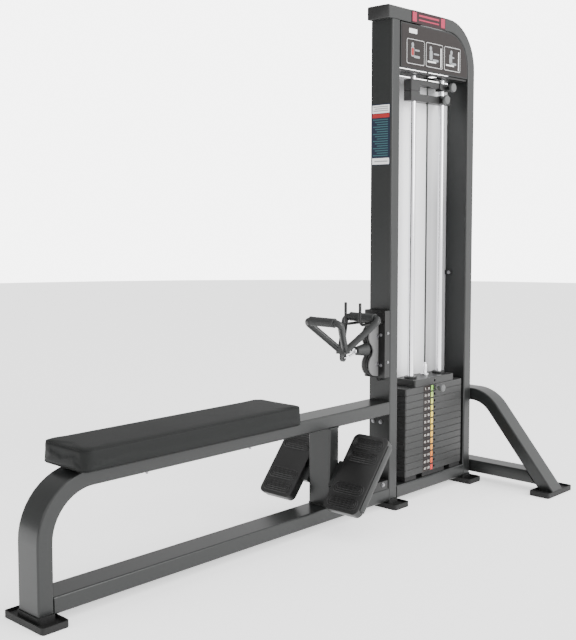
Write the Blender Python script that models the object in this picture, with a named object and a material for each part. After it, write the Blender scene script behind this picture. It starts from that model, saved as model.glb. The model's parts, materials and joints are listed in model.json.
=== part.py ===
"""Seated cable row: a bench, a weight-stack tower, foot plates and a pulled handle.

X runs along the machine from the bench's free end to the tower, Y across it,
Z up. Sizes are in metres. The origin is at the middle of the footprint.
"""
import math

import bmesh
import bpy
from mathutils import Vector
from mathutils.geometry import tessellate_polygon

# ---------------------------------------------------------------- dimensions
GAP = 0.0003            # clearance left between neighbouring solids

TUBE_W = 0.100          # wide side of the main rectangular tube, along Y
TUBE_T = 0.050          # thin side of the main rectangular tube
TUBE_R = 0.006          # corner radius of the tube
BEND_R = 0.160          # centre-line radius of the large bends

LEG_X = 0.025           # centre of the bench leg
RAIL_TOP_Z = 0.381      # centre height of the upper rail
RAIL_LOW_Z = 0.050      # centre height of the lower rail
TUBE_FOOT_Z = 0.0125    # where every upright tube ends inside its pad
FRONT_X = 1.560         # centre of the front upright
REAR_X = 2.065          # centre of the rear upright
BEAM_Z = 1.851          # centre height of the top beam
BEAM_END_X = 1.516      # free end of the top beam
POST_X = 1.215          # centre of the middle post
WALL = 0.003            # wall of the hollow front upright

PAD_L = 0.190           # rubber foot pad, long side
PAD_W = 0.086           # rubber foot pad, short side
PAD_H = 0.020           # height of the pad's rim
PAD_FLOOR = 0.012       # height of the pad's recessed floor

STAB_X = 2.1403         # centre of the rear stabiliser, along X
STAB_W = 0.080          # width of the stabiliser tube, along X
STAB_PAD_X = 2.1440     # centre of the stabiliser's pads
STAB_Z = 0.362          # centre height of the stabiliser's level part
STAB_KNEE = 0.1097      # half distance between the stabiliser's bends
STAB_SLOPE = math.radians(50.3)
STAB_R = 0.135

SEAT_X0, SEAT_X1 = 0.112, 0.996
SEAT_HALF = 0.109
SEAT_Z0, SEAT_Z1 = 0.4066, 0.4772

FOOT_LOW = (1.115, 0.100)   # lower edge of the foot plates, X and Z
FOOT_TILT = math.radians(51.2)
FOOT_LEN = 0.295
FOOT_IN, FOOT_OUT = 0.077, 0.230
FOOT_T = 0.014
BRACKET_T = 0.020

STACK_X = 1.830         # middle of the weight stack
ROD_HALF = 0.096        # guide rods stand this far each side of it
ROD_R = 0.0125
PLATE_HALF = 0.1925
PLATE_Y = 0.050
PLATE_PITCH = 0.0265
PLATE_COUNT = 13
STACK_Z = 0.0935        # underside of the lowest plate
HEAD_HALF = 0.1315
HEAD_T = 0.0275

PULLEY_W = 0.020
GUIDE_X = 1.497         # axis of both guide pulleys
GUIDE_UP_Z = 0.654
GUIDE_LOW_Z = 0.551
GUIDE_RC = 0.046        # cable centre-line radius on the guide pulleys
GUIDE_RO = 0.050
TOP_RC = 0.060          # cable centre-line radius on the top pulleys
TOP_RO = 0.064
TOP_Z = 1.735
AXLE_R = 0.006          # radius of the pulleys' pins
BORE_R = 0.0061         # radius of the pulleys' bores
PIN_SIDES = 24          # flats round each pin
CABLE_R = 0.0035
PULL_Z = GUIDE_UP_Z - GUIDE_RC
DROP_X = GUIDE_X + GUIDE_RC
TOP_FRONT_X = DROP_X + TOP_RC
TOP_REAR_X = STACK_X - TOP_RC

APEX = (1.320, 0.619)   # where the handle's arms meet, X and Z
GRIP_DX = 0.1135        # each grip's distance from the apex along X
GRIP_HALF = 0.083       # half the width of each handle loop
GRIP_Z = 0.7295
ARM_R = 0.0125
GRIP_R = 0.0165

ORIGIN_X = 1.1105       # middle of the footprint, taken off every X

# -------------------------------------------------------------------- colours
PAINT = (0.060, 0.063, 0.062)
BLACK = (0.012, 0.012, 0.012)
RUBBER = (0.020, 0.021, 0.021)
LEATHER = (0.035, 0.036, 0.035)
CHROME = (0.75, 0.75, 0.76)
SILVER = (0.30, 0.30, 0.31)
WHITE = (0.80, 0.80, 0.80)


def material(name, colour, metallic=0.0, roughness=0.5):
    """Return one plain Principled material."""
    mat = bpy.data.materials.new(name)
    mat.use_nodes = True
    bsdf = mat.node_tree.nodes["Principled BSDF"]
    bsdf.inputs["Base Color"].default_value = (*colour, 1.0)
    bsdf.inputs["Metallic"].default_value = metallic
    bsdf.inputs["Roughness"].default_value = roughness
    return mat


def place(name, verts, faces, mat, pivot=(0.0, 0.0, 0.0)):
    """Make an object of the given solid with its origin at the pivot."""
    off = Vector((ORIGIN_X, 0.0, 0.0))
    piv = Vector(pivot) - off if any(pivot) else Vector((0.0, 0.0, 0.0))
    mesh = bpy.data.meshes.new(name)
    mesh.from_pydata([tuple(Vector(v) - off - piv) for v in verts], [], faces)
    bm = bmesh.new()
    bm.from_mesh(mesh)
    bmesh.ops.remove_doubles(bm, verts=bm.verts, dist=1e-7)
    bmesh.ops.recalc_face_normals(bm, faces=bm.faces)
    if bm.calc_volume(signed=True) < 0.0:
        bmesh.ops.reverse_faces(bm, faces=bm.faces)
    bm.to_mesh(mesh)
    bm.free()
    obj = bpy.data.objects.new(name, mesh)
    obj.location = piv
    bpy.context.scene.collection.objects.link(obj)
    mesh.materials.append(material(name + "_mat", *mat))
    return obj


def combine(obj, others, operation, crossing=False):
    """Join or cut closed solids and keep the single result as a plain mesh."""
    for index, other in enumerate(others):
        mod = obj.modifiers.new("step%d" % index, "BOOLEAN")
        mod.operation = operation
        mod.solver = "EXACT"
        mod.use_self = crossing
        mod.object = other
    bpy.context.view_layer.update()
    graph = bpy.context.evaluated_depsgraph_get()
    mesh = bpy.data.meshes.new_from_object(obj.evaluated_get(graph))
    obj.modifiers.clear()
    old = obj.data
    obj.data = mesh
    bpy.data.meshes.remove(old)
    bm = bmesh.new()
    bm.from_mesh(mesh)
    bmesh.ops.remove_doubles(bm, verts=bm.verts, dist=2e-6)
    bmesh.ops.dissolve_degenerate(bm, edges=bm.edges, dist=2e-6)
    bm.to_mesh(mesh)
    bm.free()
    for other in others:
        bpy.data.objects.remove(other, do_unlink=True)
    return obj


# --------------------------------------------------------------- plane shapes
def round_rect(half_u, half_v, radius, steps=3):
    """Points of a rounded rectangle about the origin, anticlockwise."""
    points = []
    corners = ((half_u, half_v, 0.0), (-half_u, half_v, 90.0),
               (-half_u, -half_v, 180.0), (half_u, -half_v, 270.0))
    for u, v, start in corners:
        cu = u - math.copysign(radius, u)
        cv = v - math.copysign(radius, v)
        for k in range(steps + 1):
            a = math.radians(start + 90.0 * k / steps)
            points.append((cu + radius * math.cos(a), cv + radius * math.sin(a)))
    return points


def circle(cu, cv, radius, count=24, phase=0.0):
    """Points of a circle, anticlockwise."""
    return [(cu + radius * math.cos(phase + 2.0 * math.pi * k / count),
             cv + radius * math.sin(phase + 2.0 * math.pi * k / count))
            for k in range(count)]


def arc(cu, cv, radius, start, end, steps):
    """Points along an arc between two angles in degrees."""
    return [(cu + radius * math.cos(math.radians(start + (end - start) * k / steps)),
             cv + radius * math.sin(math.radians(start + (end - start) * k / steps)))
            for k in range(steps + 1)]


def slab(outer, holes, low, high, to_world):
    """Solid of an outline with through holes, between two levels."""
    loops = [list(outer)] + [list(h) for h in holes]
    flat = [p for loop in loops for p in loop]
    total = len(flat)
    verts = [to_world(u, v, low) for u, v in flat] + [to_world(u, v, high) for u, v in flat]
    tris = tessellate_polygon([[Vector((u, v, 0.0)) for u, v in loop] for loop in loops])
    faces = [tuple(t) for t in tris] + [tuple(i + total for i in reversed(t)) for t in tris]
    base = 0
    for loop in loops:
        n = len(loop)
        for k in range(n):
            a, b = base + k, base + (k + 1) % n
            faces.append((a, b, b + total, a + total))
        base += n
    return verts, faces


def stack_loops(loops):
    """Solid skin through loops of equal count, closed at both ends."""
    n = len(loops[0])
    verts = [p for loop in loops for p in loop]
    faces = []
    for i in range(len(loops) - 1):
        for k in range(n):
            a, b = i * n + k, i * n + (k + 1) % n
            faces.append((a, b, b + n, a + n))
    faces.append(tuple(range(n)))
    faces.append(tuple(reversed(range((len(loops) - 1) * n, len(loops) * n))))
    return verts, faces


def ring_loops(loops):
    """Solid skin through loops of equal count, the last joined to the first."""
    n = len(loops[0])
    m = len(loops)
    verts = [p for loop in loops for p in loop]
    faces = []
    for i in range(m):
        for k in range(n):
            a, b = i * n + k, i * n + (k + 1) % n
            c, d = ((i + 1) % m) * n + (k + 1) % n, ((i + 1) % m) * n + k
            faces.append((a, b, c, d))
    return verts, faces


def lathe(profile, to_world, count=24, closed=False):
    """Turn a profile of (radius, level) about an axis; closed keeps a bore."""
    loops = []
    for radius, level in profile:
        loops.append([to_world(radius * math.cos(2.0 * math.pi * k / count),
                               radius * math.sin(2.0 * math.pi * k / count), level)
                      for k in range(count)])
    return ring_loops(loops) if closed else stack_loops(loops)


def path_with_bends(corners, radius, steps):
    """Points and directions along a plane path whose corners are rounded."""
    pts = [Vector(c) for c in corners]
    out = []
    heading = (pts[1] - pts[0]).normalized()
    out.append((pts[0], heading))
    for i in range(1, len(pts) - 1):
        a = (pts[i] - pts[i - 1]).normalized()
        b = (pts[i + 1] - pts[i]).normalized()
        turn = a.angle(b)
        cut = radius * math.tan(turn / 2.0)
        side = (b - a * a.dot(b)).normalized()
        centre = pts[i] - a * cut + side * radius
        for k in range(steps + 1):
            t = turn * k / steps
            point = centre - side * radius * math.cos(t) + a * radius * math.sin(t)
            out.append((point, (a * math.cos(t) + side * math.sin(t)).normalized()))
    out.append((pts[-1], (pts[-1] - pts[-2]).normalized()))
    return out


def sweep(path, profile, normal):
    """Loops of a profile carried along a plane path.

    The profile's first coordinate lies in the path's plane and its second
    along the plane's normal.
    """
    normal = Vector(normal).normalized()
    loops = []
    for point, heading in path:
        side = normal.cross(heading).normalized()
        loops.append([point + side * u + normal * v for u, v in profile])
    return loops


# -------------------------------------------------------------- frame pieces
def main_profile():
    """Section of the main tube: thin side in the path's plane."""
    return round_rect(TUBE_T / 2, TUBE_W / 2, TUBE_R, 2)


def bench_tube():
    """Leg and upper rail: one tube with a single large bend."""
    path = path_with_bends([(LEG_X, 0, TUBE_FOOT_Z), (LEG_X, 0, RAIL_TOP_Z),
                            (FRONT_X - TUBE_T / 2 - GAP, 0, RAIL_TOP_Z)], BEND_R, 12)
    verts, faces = stack_loops(sweep(path, main_profile(), (0, 1, 0)))
    return place("bench_tube", verts, faces, (PAINT, 0.3, 0.4))


def top_arch():
    """Rear upright bent over into the top beam, one tube."""
    path = path_with_bends([(REAR_X, 0, TUBE_FOOT_Z), (REAR_X, 0, BEAM_Z),
                            (BEAM_END_X, 0, BEAM_Z)], BEND_R, 12)
    verts, faces = stack_loops(sweep(path, main_profile(), (0, 1, 0)))
    return place("top_arch", verts, faces, (PAINT, 0.3, 0.4))


def straight_tube(name, x0, x1, z):
    """Level length of main tube along X."""
    path = [(Vector((x0, 0, z)), Vector((1, 0, 0))), (Vector((x1, 0, z)), Vector((1, 0, 0)))]
    verts, faces = stack_loops(sweep(path, main_profile(), (0, 1, 0)))
    return place(name, verts, faces, (PAINT, 0.3, 0.4))


def middle_post():
    """Short post between the two bench rails."""
    low = RAIL_LOW_Z + TUBE_T / 2 + GAP
    high = RAIL_TOP_Z - TUBE_T / 2 - GAP
    path = [(Vector((POST_X, 0, low)), Vector((0, 0, 1))),
            (Vector((POST_X, 0, high)), Vector((0, 0, 1)))]
    verts, faces = stack_loops(sweep(path, main_profile(), (0, 1, 0)))
    return place("middle_post", verts, faces, (PAINT, 0.3, 0.4))


def block(name, x0, x1, y0, y1, z0, z1, mat=(BLACK,)):
    """Plain box, used on its own and as a cutter."""
    verts, faces = slab([(x0, y0), (x1, y0), (x1, y1), (x0, y1)], [], z0, z1,
                        lambda u, v, w: (u, v, w))
    return place(name, verts, faces, mat)


def front_upright():
    """Hollow upright with slots where the pulleys reach the cable inside."""
    outer = main_profile()
    inner = round_rect(TUBE_T / 2 - WALL, TUBE_W / 2 - WALL, TUBE_R - WALL, 2)
    high = BEAM_Z - TUBE_T / 2 - GAP
    loops = []
    for profile, z in ((outer, TUBE_FOOT_Z), (outer, high), (inner, high), (inner, TUBE_FOOT_Z)):
        loops.append([(FRONT_X + u, v, z) for u, v in profile])
    verts, faces = ring_loops(loops)
    obj = place("front_upright", verts, faces, (PAINT, 0.3, 0.4))
    front = block("cut_a", FRONT_X - 0.035, FRONT_X - 0.015, -0.013, 0.013, 0.485, 0.715)
    rear = block("cut_b", FRONT_X + 0.015, FRONT_X + 0.035, -0.013, 0.013, 1.655, 1.815)
    return combine(obj, [front, rear], "DIFFERENCE")


def stabiliser_arch():
    """Rear stabiliser: a bent tube across the machine with splayed legs."""
    drop = STAB_Z - TUBE_FOOT_Z
    foot_y = STAB_KNEE + drop / math.tan(STAB_SLOPE)
    path = path_with_bends([(STAB_X, foot_y, TUBE_FOOT_Z), (STAB_X, STAB_KNEE, STAB_Z),
                            (STAB_X, -STAB_KNEE, STAB_Z), (STAB_X, -foot_y, TUBE_FOOT_Z)],
                           STAB_R, 8)
    loops = sweep(path, round_rect(TUBE_T / 2, STAB_W / 2, TUBE_R, 2), (1, 0, 0))
    for end, heading in ((0, path[0][1]), (-1, path[-1][1])):
        loops[end] = [p + heading * ((TUBE_FOOT_Z - p.z) / heading.z) for p in loops[end]]
    verts, faces = stack_loops(loops)
    obj = place("stabiliser_arch", verts, faces, (PAINT, 0.3, 0.4))
    plate = block("join_plate", REAR_X + TUBE_T / 2 + GAP, STAB_X - STAB_W / 2 + 0.004,
                  -0.040, 0.040, STAB_Z - 0.0185, STAB_Z + 0.0185)
    return combine(obj, [plate], "UNION")


def stabiliser_cross():
    """Low tube between the stabiliser's legs, its ends cut to their slope."""
    zc = 0.058
    lean = math.tan(STAB_SLOPE)
    line_y = STAB_KNEE - 0.025 * (1 - math.cos(STAB_SLOPE)) / math.sin(STAB_SLOPE)
    loops = []
    for sign in (-1, 1):
        loop = []
        for u, v in round_rect(STAB_W / 2, TUBE_T / 2, TUBE_R, 2):
            z = zc + v
            inner_y = line_y + (STAB_Z - 0.025 - z) / lean
            loop.append((STAB_X + u, sign * (inner_y - 0.0008), z))
        loops.append(loop)
    verts, faces = stack_loops(loops)
    obj = place("stabiliser_cross", verts, faces, (PAINT, 0.3, 0.4))
    plate = block("join_foot", REAR_X + TUBE_T / 2 + GAP, STAB_X - STAB_W / 2 + 0.004,
                  -0.040, 0.040, zc - 0.0165, zc + 0.0185)
    return combine(obj, [plate], "UNION")


def foot_pad(name, cx, cy, turned, notches):
    """Rubber pad with a rim, a collar for an upright tube and a ribbed sole."""
    half_u, half_v = (PAD_L / 2, PAD_W / 2) if turned else (PAD_W / 2, PAD_L / 2)
    loops = []

    def add(inset, z, radius):
        loops.append([(cx + u, cy + v, z) for u, v in
                      round_rect(half_u - inset, half_v - inset, radius)])

    add(0.001, 0.0, 0.008)
    add(0.0, 0.002, 0.009)
    add(0.0, PAD_H, 0.009)
    add(0.004, PAD_H, 0.006)
    add(0.005, PAD_FLOOR, 0.005)
    if not turned:
        for du, z in ((0.0045, PAD_FLOOR), (0.0035, 0.031), (0.0006, 0.031), (0.0006, PAD_FLOOR)):
            loops.append([(cx + u, cy + v, z) for u, v in
                          round_rect(TUBE_T / 2 + du, TUBE_W / 2 + du, TUBE_R + du, 3)])
    verts, faces = stack_loops(loops)
    obj = place(name, verts, faces, (RUBBER, 0.0, 0.8))
    cutters = []
    for side in notches:
        x0, x1 = sorted((cx + side * 0.0235, cx + side * 0.060))
        cutters.append(block("cut_n%+d" % side, x0, x1, -0.0508, 0.0508, 0.0243, 0.05))
    span = half_u if turned else half_v
    other = half_v if turned else half_u
    count = 12
    verts, faces = [], []
    for k in range(count):
        c = (k + 0.5 - count / 2) * (2 * span / count)
        base = len(verts)
        tri = ((c - 0.0036, -0.003), (c + 0.0036, -0.003), (c, 0.0042))
        for end in (-other - 0.01, other + 0.01):
            for s, z in tri:
                verts.append((cx + s, cy + end, z) if turned else (cx + end, cy + s, z))
        faces += [(base, base + 1, base + 2), (base + 5, base + 4, base + 3)]
        for i in range(3):
            j = (i + 1) % 3
            faces.append((base + i, base + 3 + i, base + 3 + j, base + j))
    cutters.append(place("cut_sole", verts, faces, (RUBBER,)))
    return combine(obj, cutters, "DIFFERENCE")


# --------------------------------------------------------------- seat and feet
def seat_pad():
    """Long padded seat, hollowed underneath for its board."""
    cx, hx = (SEAT_X0 + SEAT_X1) / 2, (SEAT_X1 - SEAT_X0) / 2
    steps = ((0.0, SEAT_Z0 + 0.003, 0.030), (0.0, SEAT_Z1 - 0.006, 0.030),
             (0.002, SEAT_Z1 - 0.002, 0.029), (0.006, SEAT_Z1, 0.026))
    loops = [[(cx + u, v, z) for u, v in round_rect(hx - inset, SEAT_HALF - inset, r, 5)]
             for inset, z, r in ((0.012, SEAT_Z0 + 0.012, 0.020), (0.012, SEAT_Z0, 0.020),
                                 (0.003, SEAT_Z0, 0.028)) + steps]
    verts, faces = stack_loops(loops)
    return place("seat_pad", verts, faces, (LEATHER, 0.0, 0.6))


def foot_point(u, v, w):
    """World point of foot-plate coordinates: up the slope, across, outward."""
    x = FOOT_LOW[0] + u * math.cos(FOOT_TILT) - w * math.sin(FOOT_TILT)
    z = FOOT_LOW[1] + u * math.sin(FOOT_TILT) + w * math.cos(FOOT_TILT)
    return (x, v, z)


def foot_plate(name, side):
    """Rubber tread of one foot plate."""
    half_v = (FOOT_OUT - FOOT_IN) / 2
    mid = side * (FOOT_IN + FOOT_OUT) / 2
    loops = []
    for inset, w, r in ((0.0, -FOOT_T, 0.020), (0.0, -0.003, 0.020), (0.002, 0.0, 0.018)):
        loops.append([foot_point(FOOT_LEN / 2 + u, mid + v, w) for u, v in
                      round_rect(FOOT_LEN / 2 - inset, half_v - inset, r, 4)])
    verts, faces = stack_loops(loops)
    return place(name, verts, faces, (RUBBER, 0.0, 0.8))


def foot_bracket(name, side):
    """Steel backing of one foot plate with the tab that meets the post."""
    half_v = (FOOT_OUT - FOOT_IN) / 2 - 0.002
    mid = side * (FOOT_IN + FOOT_OUT) / 2
    root, tip = side * (FOOT_IN + 0.002), side * (TUBE_W / 2 + GAP)
    tab = [(0.085, root), (0.085, tip), (0.185, tip), (0.185, root)]
    ring = [(FOOT_LEN / 2 + u, mid + v) for u, v in
            round_rect(FOOT_LEN / 2 - 0.002, half_v, 0.020, 4)]
    outline = []
    for here, after in zip(ring, ring[1:] + ring[:1]):
        outline.append(here)
        if abs(here[1] - root) < 1e-6 and abs(after[1] - root) < 1e-6:
            outline += tab if here[0] < after[0] else tab[::-1]
    verts, faces = slab(outline, [], -FOOT_T - GAP - BRACKET_T, -FOOT_T - GAP, foot_point)
    return place(name, verts, faces, (PAINT, 0.3, 0.4))


# -------------------------------------------------------------- weight stack
def plate_solid(half_x, z0, z1, pin_z):
    """Weight plate: two rod holes, a centre hole and a blind pin hole."""
    c = 0.004
    outer = [(STACK_X - half_x + c, -PLATE_Y), (STACK_X + half_x - c, -PLATE_Y),
             (STACK_X + half_x, -PLATE_Y + c), (STACK_X + half_x, PLATE_Y - c),
             (STACK_X + half_x - c, PLATE_Y), (STACK_X - half_x + c, PLATE_Y),
             (STACK_X - half_x, PLATE_Y - c), (STACK_X - half_x, -PLATE_Y + c)]
    holes = [circle(STACK_X - ROD_HALF, 0, 0.0140, 12), circle(STACK_X + ROD_HALF, 0, 0.0140, 12),
             circle(STACK_X, 0, 0.0105, 12)]
    verts, faces = slab(outer, holes, z0, z1, lambda u, v, w: (u, v, w))
    total = len(verts) // 2
    near = (0, 1, 1 + total, total)
    faces = [f for f in faces if tuple(f) != near]
    hole = circle(STACK_X, pin_z, 0.0052, 8)
    corner = [verts[i] for i in near]
    loops = [[Vector((p[0], p[2], 0)) for p in corner], [Vector((u, v, 0)) for u, v in hole]]
    base = len(verts)
    verts = list(verts) + [(u, -PLATE_Y, v) for u, v in hole] + [(u, -PLATE_Y + 0.030, v) for u, v in hole]
    n = len(hole)
    index = list(near) + [base + k for k in range(n)]
    faces += [tuple(index[i] for i in t) for t in tessellate_polygon(loops)]
    for k in range(n):
        a, b = base + k, base + (k + 1) % n
        faces.append((a, b, b + n, a + n))
    faces.append(tuple(base + n + k for k in range(n)))
    return verts, faces


def weight_plates():
    """The numbered plates from the top of the stack down."""
    for k in range(PLATE_COUNT):
        top = STACK_Z + PLATE_PITCH * (PLATE_COUNT - k)
        z0, z1 = top - PLATE_PITCH + 0.0008, top
        verts, faces = plate_solid(PLATE_HALF, z0, z1, (z0 + z1) / 2)
        place("weight_plate_%02d" % (k + 1), verts, faces, (SILVER, 0.6, 0.45))


def head_plate():
    """Shorter head plate that carries the selector rod."""
    z0 = STACK_Z + PLATE_PITCH * PLATE_COUNT + 0.0008
    verts, faces = plate_solid(HEAD_HALF, z0, z0 + HEAD_T, z0 + HEAD_T / 2)
    return place("head_plate", verts, faces, (SILVER, 0.6, 0.45))


def selector_rod():
    """Rod down the middle of the stack with the cable's swaged end on top."""
    top = STACK_Z + PLATE_PITCH * PLATE_COUNT + 0.0008 + HEAD_T
    profile = [(0.0070, 0.112), (0.0095, 0.116), (0.0095, top + GAP), (0.0160, top + GAP),
               (0.0160, top + 0.010), (0.0095, top + 0.012), (0.0095, top + 0.046),
               (0.0055, top + 0.052), (0.0055, 0.5205)]
    verts, faces = lathe(profile, lambda u, v, w: (STACK_X + u, v, w), 16)
    return place("selector_rod", verts, faces, (CHROME, 1.0, 0.15))


def selector_pin():
    """Pin through the front of the top plate, with a round knob."""
    z = STACK_Z + PLATE_PITCH * (PLATE_COUNT - 0.5) + 0.0004
    profile = [(0.0030, 0.0225), (0.0044, 0.0255), (0.0044, 0.0508), (0.0090, 0.0508),
               (0.0090, 0.062), (0.0060, 0.066), (0.0060, 0.074), (0.0150, 0.078),
               (0.0150, 0.090), (0.0120, 0.093)]
    verts, faces = lathe(profile, lambda u, v, w: (STACK_X + u, -w, z + v), 16)
    return place("selector_pin", verts, faces, (BLACK, 0.0, 0.4))


def guide_rod(name, side):
    """Chrome rod the plates slide on."""
    x = STACK_X + side * ROD_HALF
    profile = [(ROD_R - 0.001, 0.0753), (ROD_R, 0.0765), (ROD_R, 1.6435), (ROD_R - 0.001, 1.6447)]
    verts, faces = lathe(profile, lambda u, v, w: (x + u, v, w), 24)
    return place(name, verts, faces, (CHROME, 1.0, 0.12))


def rod_bracket():
    """Flat bracket between the uprights that closes the tops of the rods."""
    x0, x1 = FRONT_X + TUBE_T / 2 + GAP, REAR_X - TUBE_T / 2 - GAP
    outer = [(x0, -0.043), (x1, -0.043), (x1, 0.043), (x0, 0.043)]
    window = [(1.822, -0.028), (1.898, -0.028), (1.898, 0.028), (1.822, 0.028)]
    verts, faces = slab(outer, [window], 1.6450, 1.6530, lambda u, v, w: (u, v, w))
    return place("rod_bracket", verts, faces, (BLACK, 0.0, 0.5))


def stack_bumper():
    """Rubber strip the plates rest on, open in front of each rod."""
    front, mid, back = -0.046, 0.016, 0.046
    x0, x1 = STACK_X - PLATE_HALF + 0.004, STACK_X + PLATE_HALF - 0.004
    a, b = STACK_X - ROD_HALF, STACK_X + ROD_HALF
    g = 0.0190
    outer = [(x0, front), (a - g, front), (a - g, mid), (a + g, mid), (a + g, front),
             (b - g, front), (b - g, mid), (b + g, mid), (b + g, front), (x1, front),
             (x1, back), (x0, back)]
    verts, faces = slab(outer, [], 0.0753, STACK_Z + 0.0005, lambda u, v, w: (u, v, w))
    return place("stack_bumper", verts, faces, (RUBBER, 0.0, 0.8))


def addon_weight(name, upper):
    """Small add-on weight parked on the rods above the stack."""
    x0, x1 = STACK_X - HEAD_HALF, STACK_X + HEAD_HALF
    step = x0 + 0.058
    if upper:
        side = [(x0, 1.5845), (step, 1.5845), (step, 1.6075), (x1 - 0.052, 1.6075),
                (x1 - 0.052, 1.5990), (x1, 1.5990), (x1, 1.6270), (x0, 1.6270)]
    else:
        side = [(x0, 1.5455), (x1, 1.5455), (x1, 1.5800), (x1 - 0.052, 1.5800),
                (x1 - 0.052, 1.5735), (step, 1.5735), (step, 1.5837), (x0, 1.5837)]
    verts, faces = slab(side, [], -0.018, 0.018, lambda u, v, w: (u, w, v))
    obj = place(name, verts, faces, (SILVER, 0.6, 0.45))
    verts, faces = [], []
    for x, r in ((STACK_X - ROD_HALF, 0.0137), (STACK_X + ROD_HALF, 0.0137), (STACK_X, 0.0130)):
        v, f = lathe([(r, 1.50), (r, 1.66)], lambda a, b, c, x=x: (x + a, b, c), 20)
        faces += [tuple(i + len(verts) for i in face) for face in f]
        verts += v
    obj = combine(obj, [place("cut_rods", verts, faces, (SILVER,))], "DIFFERENCE")
    return obj


def addon_knob(name, x, z):
    """Sprung pull knob that locks one add-on weight to the rods."""
    profile = [(0.0080, 0.0183), (0.0080, 0.0350), (0.0185, 0.0355), (0.0185, 0.0460),
               (0.0160, 0.0485)]
    verts, faces = lathe(profile, lambda a, b, c: (x + a, -c, z + b), 18)
    return place(name, verts, faces, (BLACK, 0.0, 0.4), (x, 0.0, z))


# -------------------------------------------------------------- pulleys, cable
def pulley(name, x, z, rc, ro):
    """Grooved pulley turning about Y, bored for its pin."""
    groove = rc - CABLE_R - 0.0006
    h = PULLEY_W / 2
    profile = [(BORE_R, -h), (0.016, -h), (0.018, -h + 0.002), (ro - 0.008, -h + 0.002),
               (ro - 0.006, -h), (ro, -h), (groove, -0.0040), (groove, 0.0040), (ro, h),
               (ro - 0.006, h), (ro - 0.008, h - 0.002), (0.018, h - 0.002), (0.016, h),
               (BORE_R, h)]
    verts, faces = lathe(profile, lambda a, b, c: (x + a, c, z + b), 24, closed=True)
    return place(name, verts, faces, (BLACK, 0.0, 0.45), (x, 0.0, z))


def pulley_mount():
    """Black block on the front upright with two bent rods the handle hangs on."""
    x0, x1 = 1.505, FRONT_X - TUBE_T / 2 - GAP
    verts, faces = stack_loops([[(x, v, 0.6245 + u) for u, v in round_rect(0.1275, 0.048, 0.004, 2)]
                                for x in (x0, x1)])
    obj = place("pulley_mount", verts, faces, (BLACK, 0.0, 0.5))
    slot = block("cut_slot", x0 - 0.01, x1 + 0.01, -0.013, 0.013, 0.45, 0.712)
    obj = combine(obj, [slot], "DIFFERENCE")
    z = GRIP_Z - GRIP_R - 0.0055 - 0.0006
    rods = []
    for side in (-1, 1):
        y = side * 0.034
        path = path_with_bends([(1.3750, y, 0.7860), (1.3750, y, z), (x0 + 0.006, y, z)], 0.018, 6)
        loops = sweep(path, circle(0, 0, 0.0055, 10), (0, 1, 0))
        tip = [Vector((1.3750, y, 0.7878)) + (p - path[0][0]) * 0.6 for p in loops[0]]
        verts, faces = stack_loops([tip] + loops)
        rods.append(place("join_rod%+d" % side, verts, faces, (BLACK,)))
    return combine(obj, rods, "UNION")


def pulley_cheeks():
    """Two lobed plates joined by the guide pulleys' pins."""
    right = 1.5047
    low, high = (1.492, 0.549), (1.492, 0.656)
    outline = [(right, 0.504), (low[0], 0.506)]
    outline += arc(low[0], low[1], 0.043, 265, 125, 12)
    outline += [(1.4745, 0.6025)]
    outline += arc(high[0], high[1], 0.043, 235, 95, 12)
    outline += [(right, 0.701)]
    pins = [circle(GUIDE_X, z, AXLE_R, PIN_SIDES) for z in (GUIDE_LOW_Z, GUIDE_UP_Z)]
    flat = list(outline) + pins[0] + pins[1]
    n = len(outline)
    levels = (-0.0185, -0.0135, 0.0135, 0.0185)
    verts, faces = [], []
    for y in levels:
        verts += [(u, y, v) for u, v in flat]
    size = len(flat)
    plain = tessellate_polygon([[Vector((u, v, 0)) for u, v in outline]])
    holed = tessellate_polygon([[Vector((u, v, 0)) for u, v in loop] for loop in [outline] + pins])
    faces += [tuple(t) for t in plain]
    faces += [tuple(i + 3 * size for i in reversed(t)) for t in plain]
    faces += [tuple(i + size for i in reversed(t)) for t in holed]
    faces += [tuple(i + 2 * size for i in t) for t in holed]
    for k in range(n):
        a, b = k, (k + 1) % n
        faces.append((a, a + size, b + size, b))
        faces.append((a + 2 * size, a + 3 * size, b + 3 * size, b + 2 * size))
    for p in range(2):
        start = n + PIN_SIDES * p
        for k in range(PIN_SIDES):
            a, b = start + k, start + (k + 1) % PIN_SIDES
            faces.append((a + size, a + 2 * size, b + 2 * size, b + size))
    used = sorted({i for f in faces for i in f})
    remap = {old: new for new, old in enumerate(used)}
    verts = [verts[i] for i in used]
    faces = [tuple(remap[i] for i in f) for f in faces]
    return place("pulley_cheeks", verts, faces, (SILVER, 0.6, 0.4))


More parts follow.
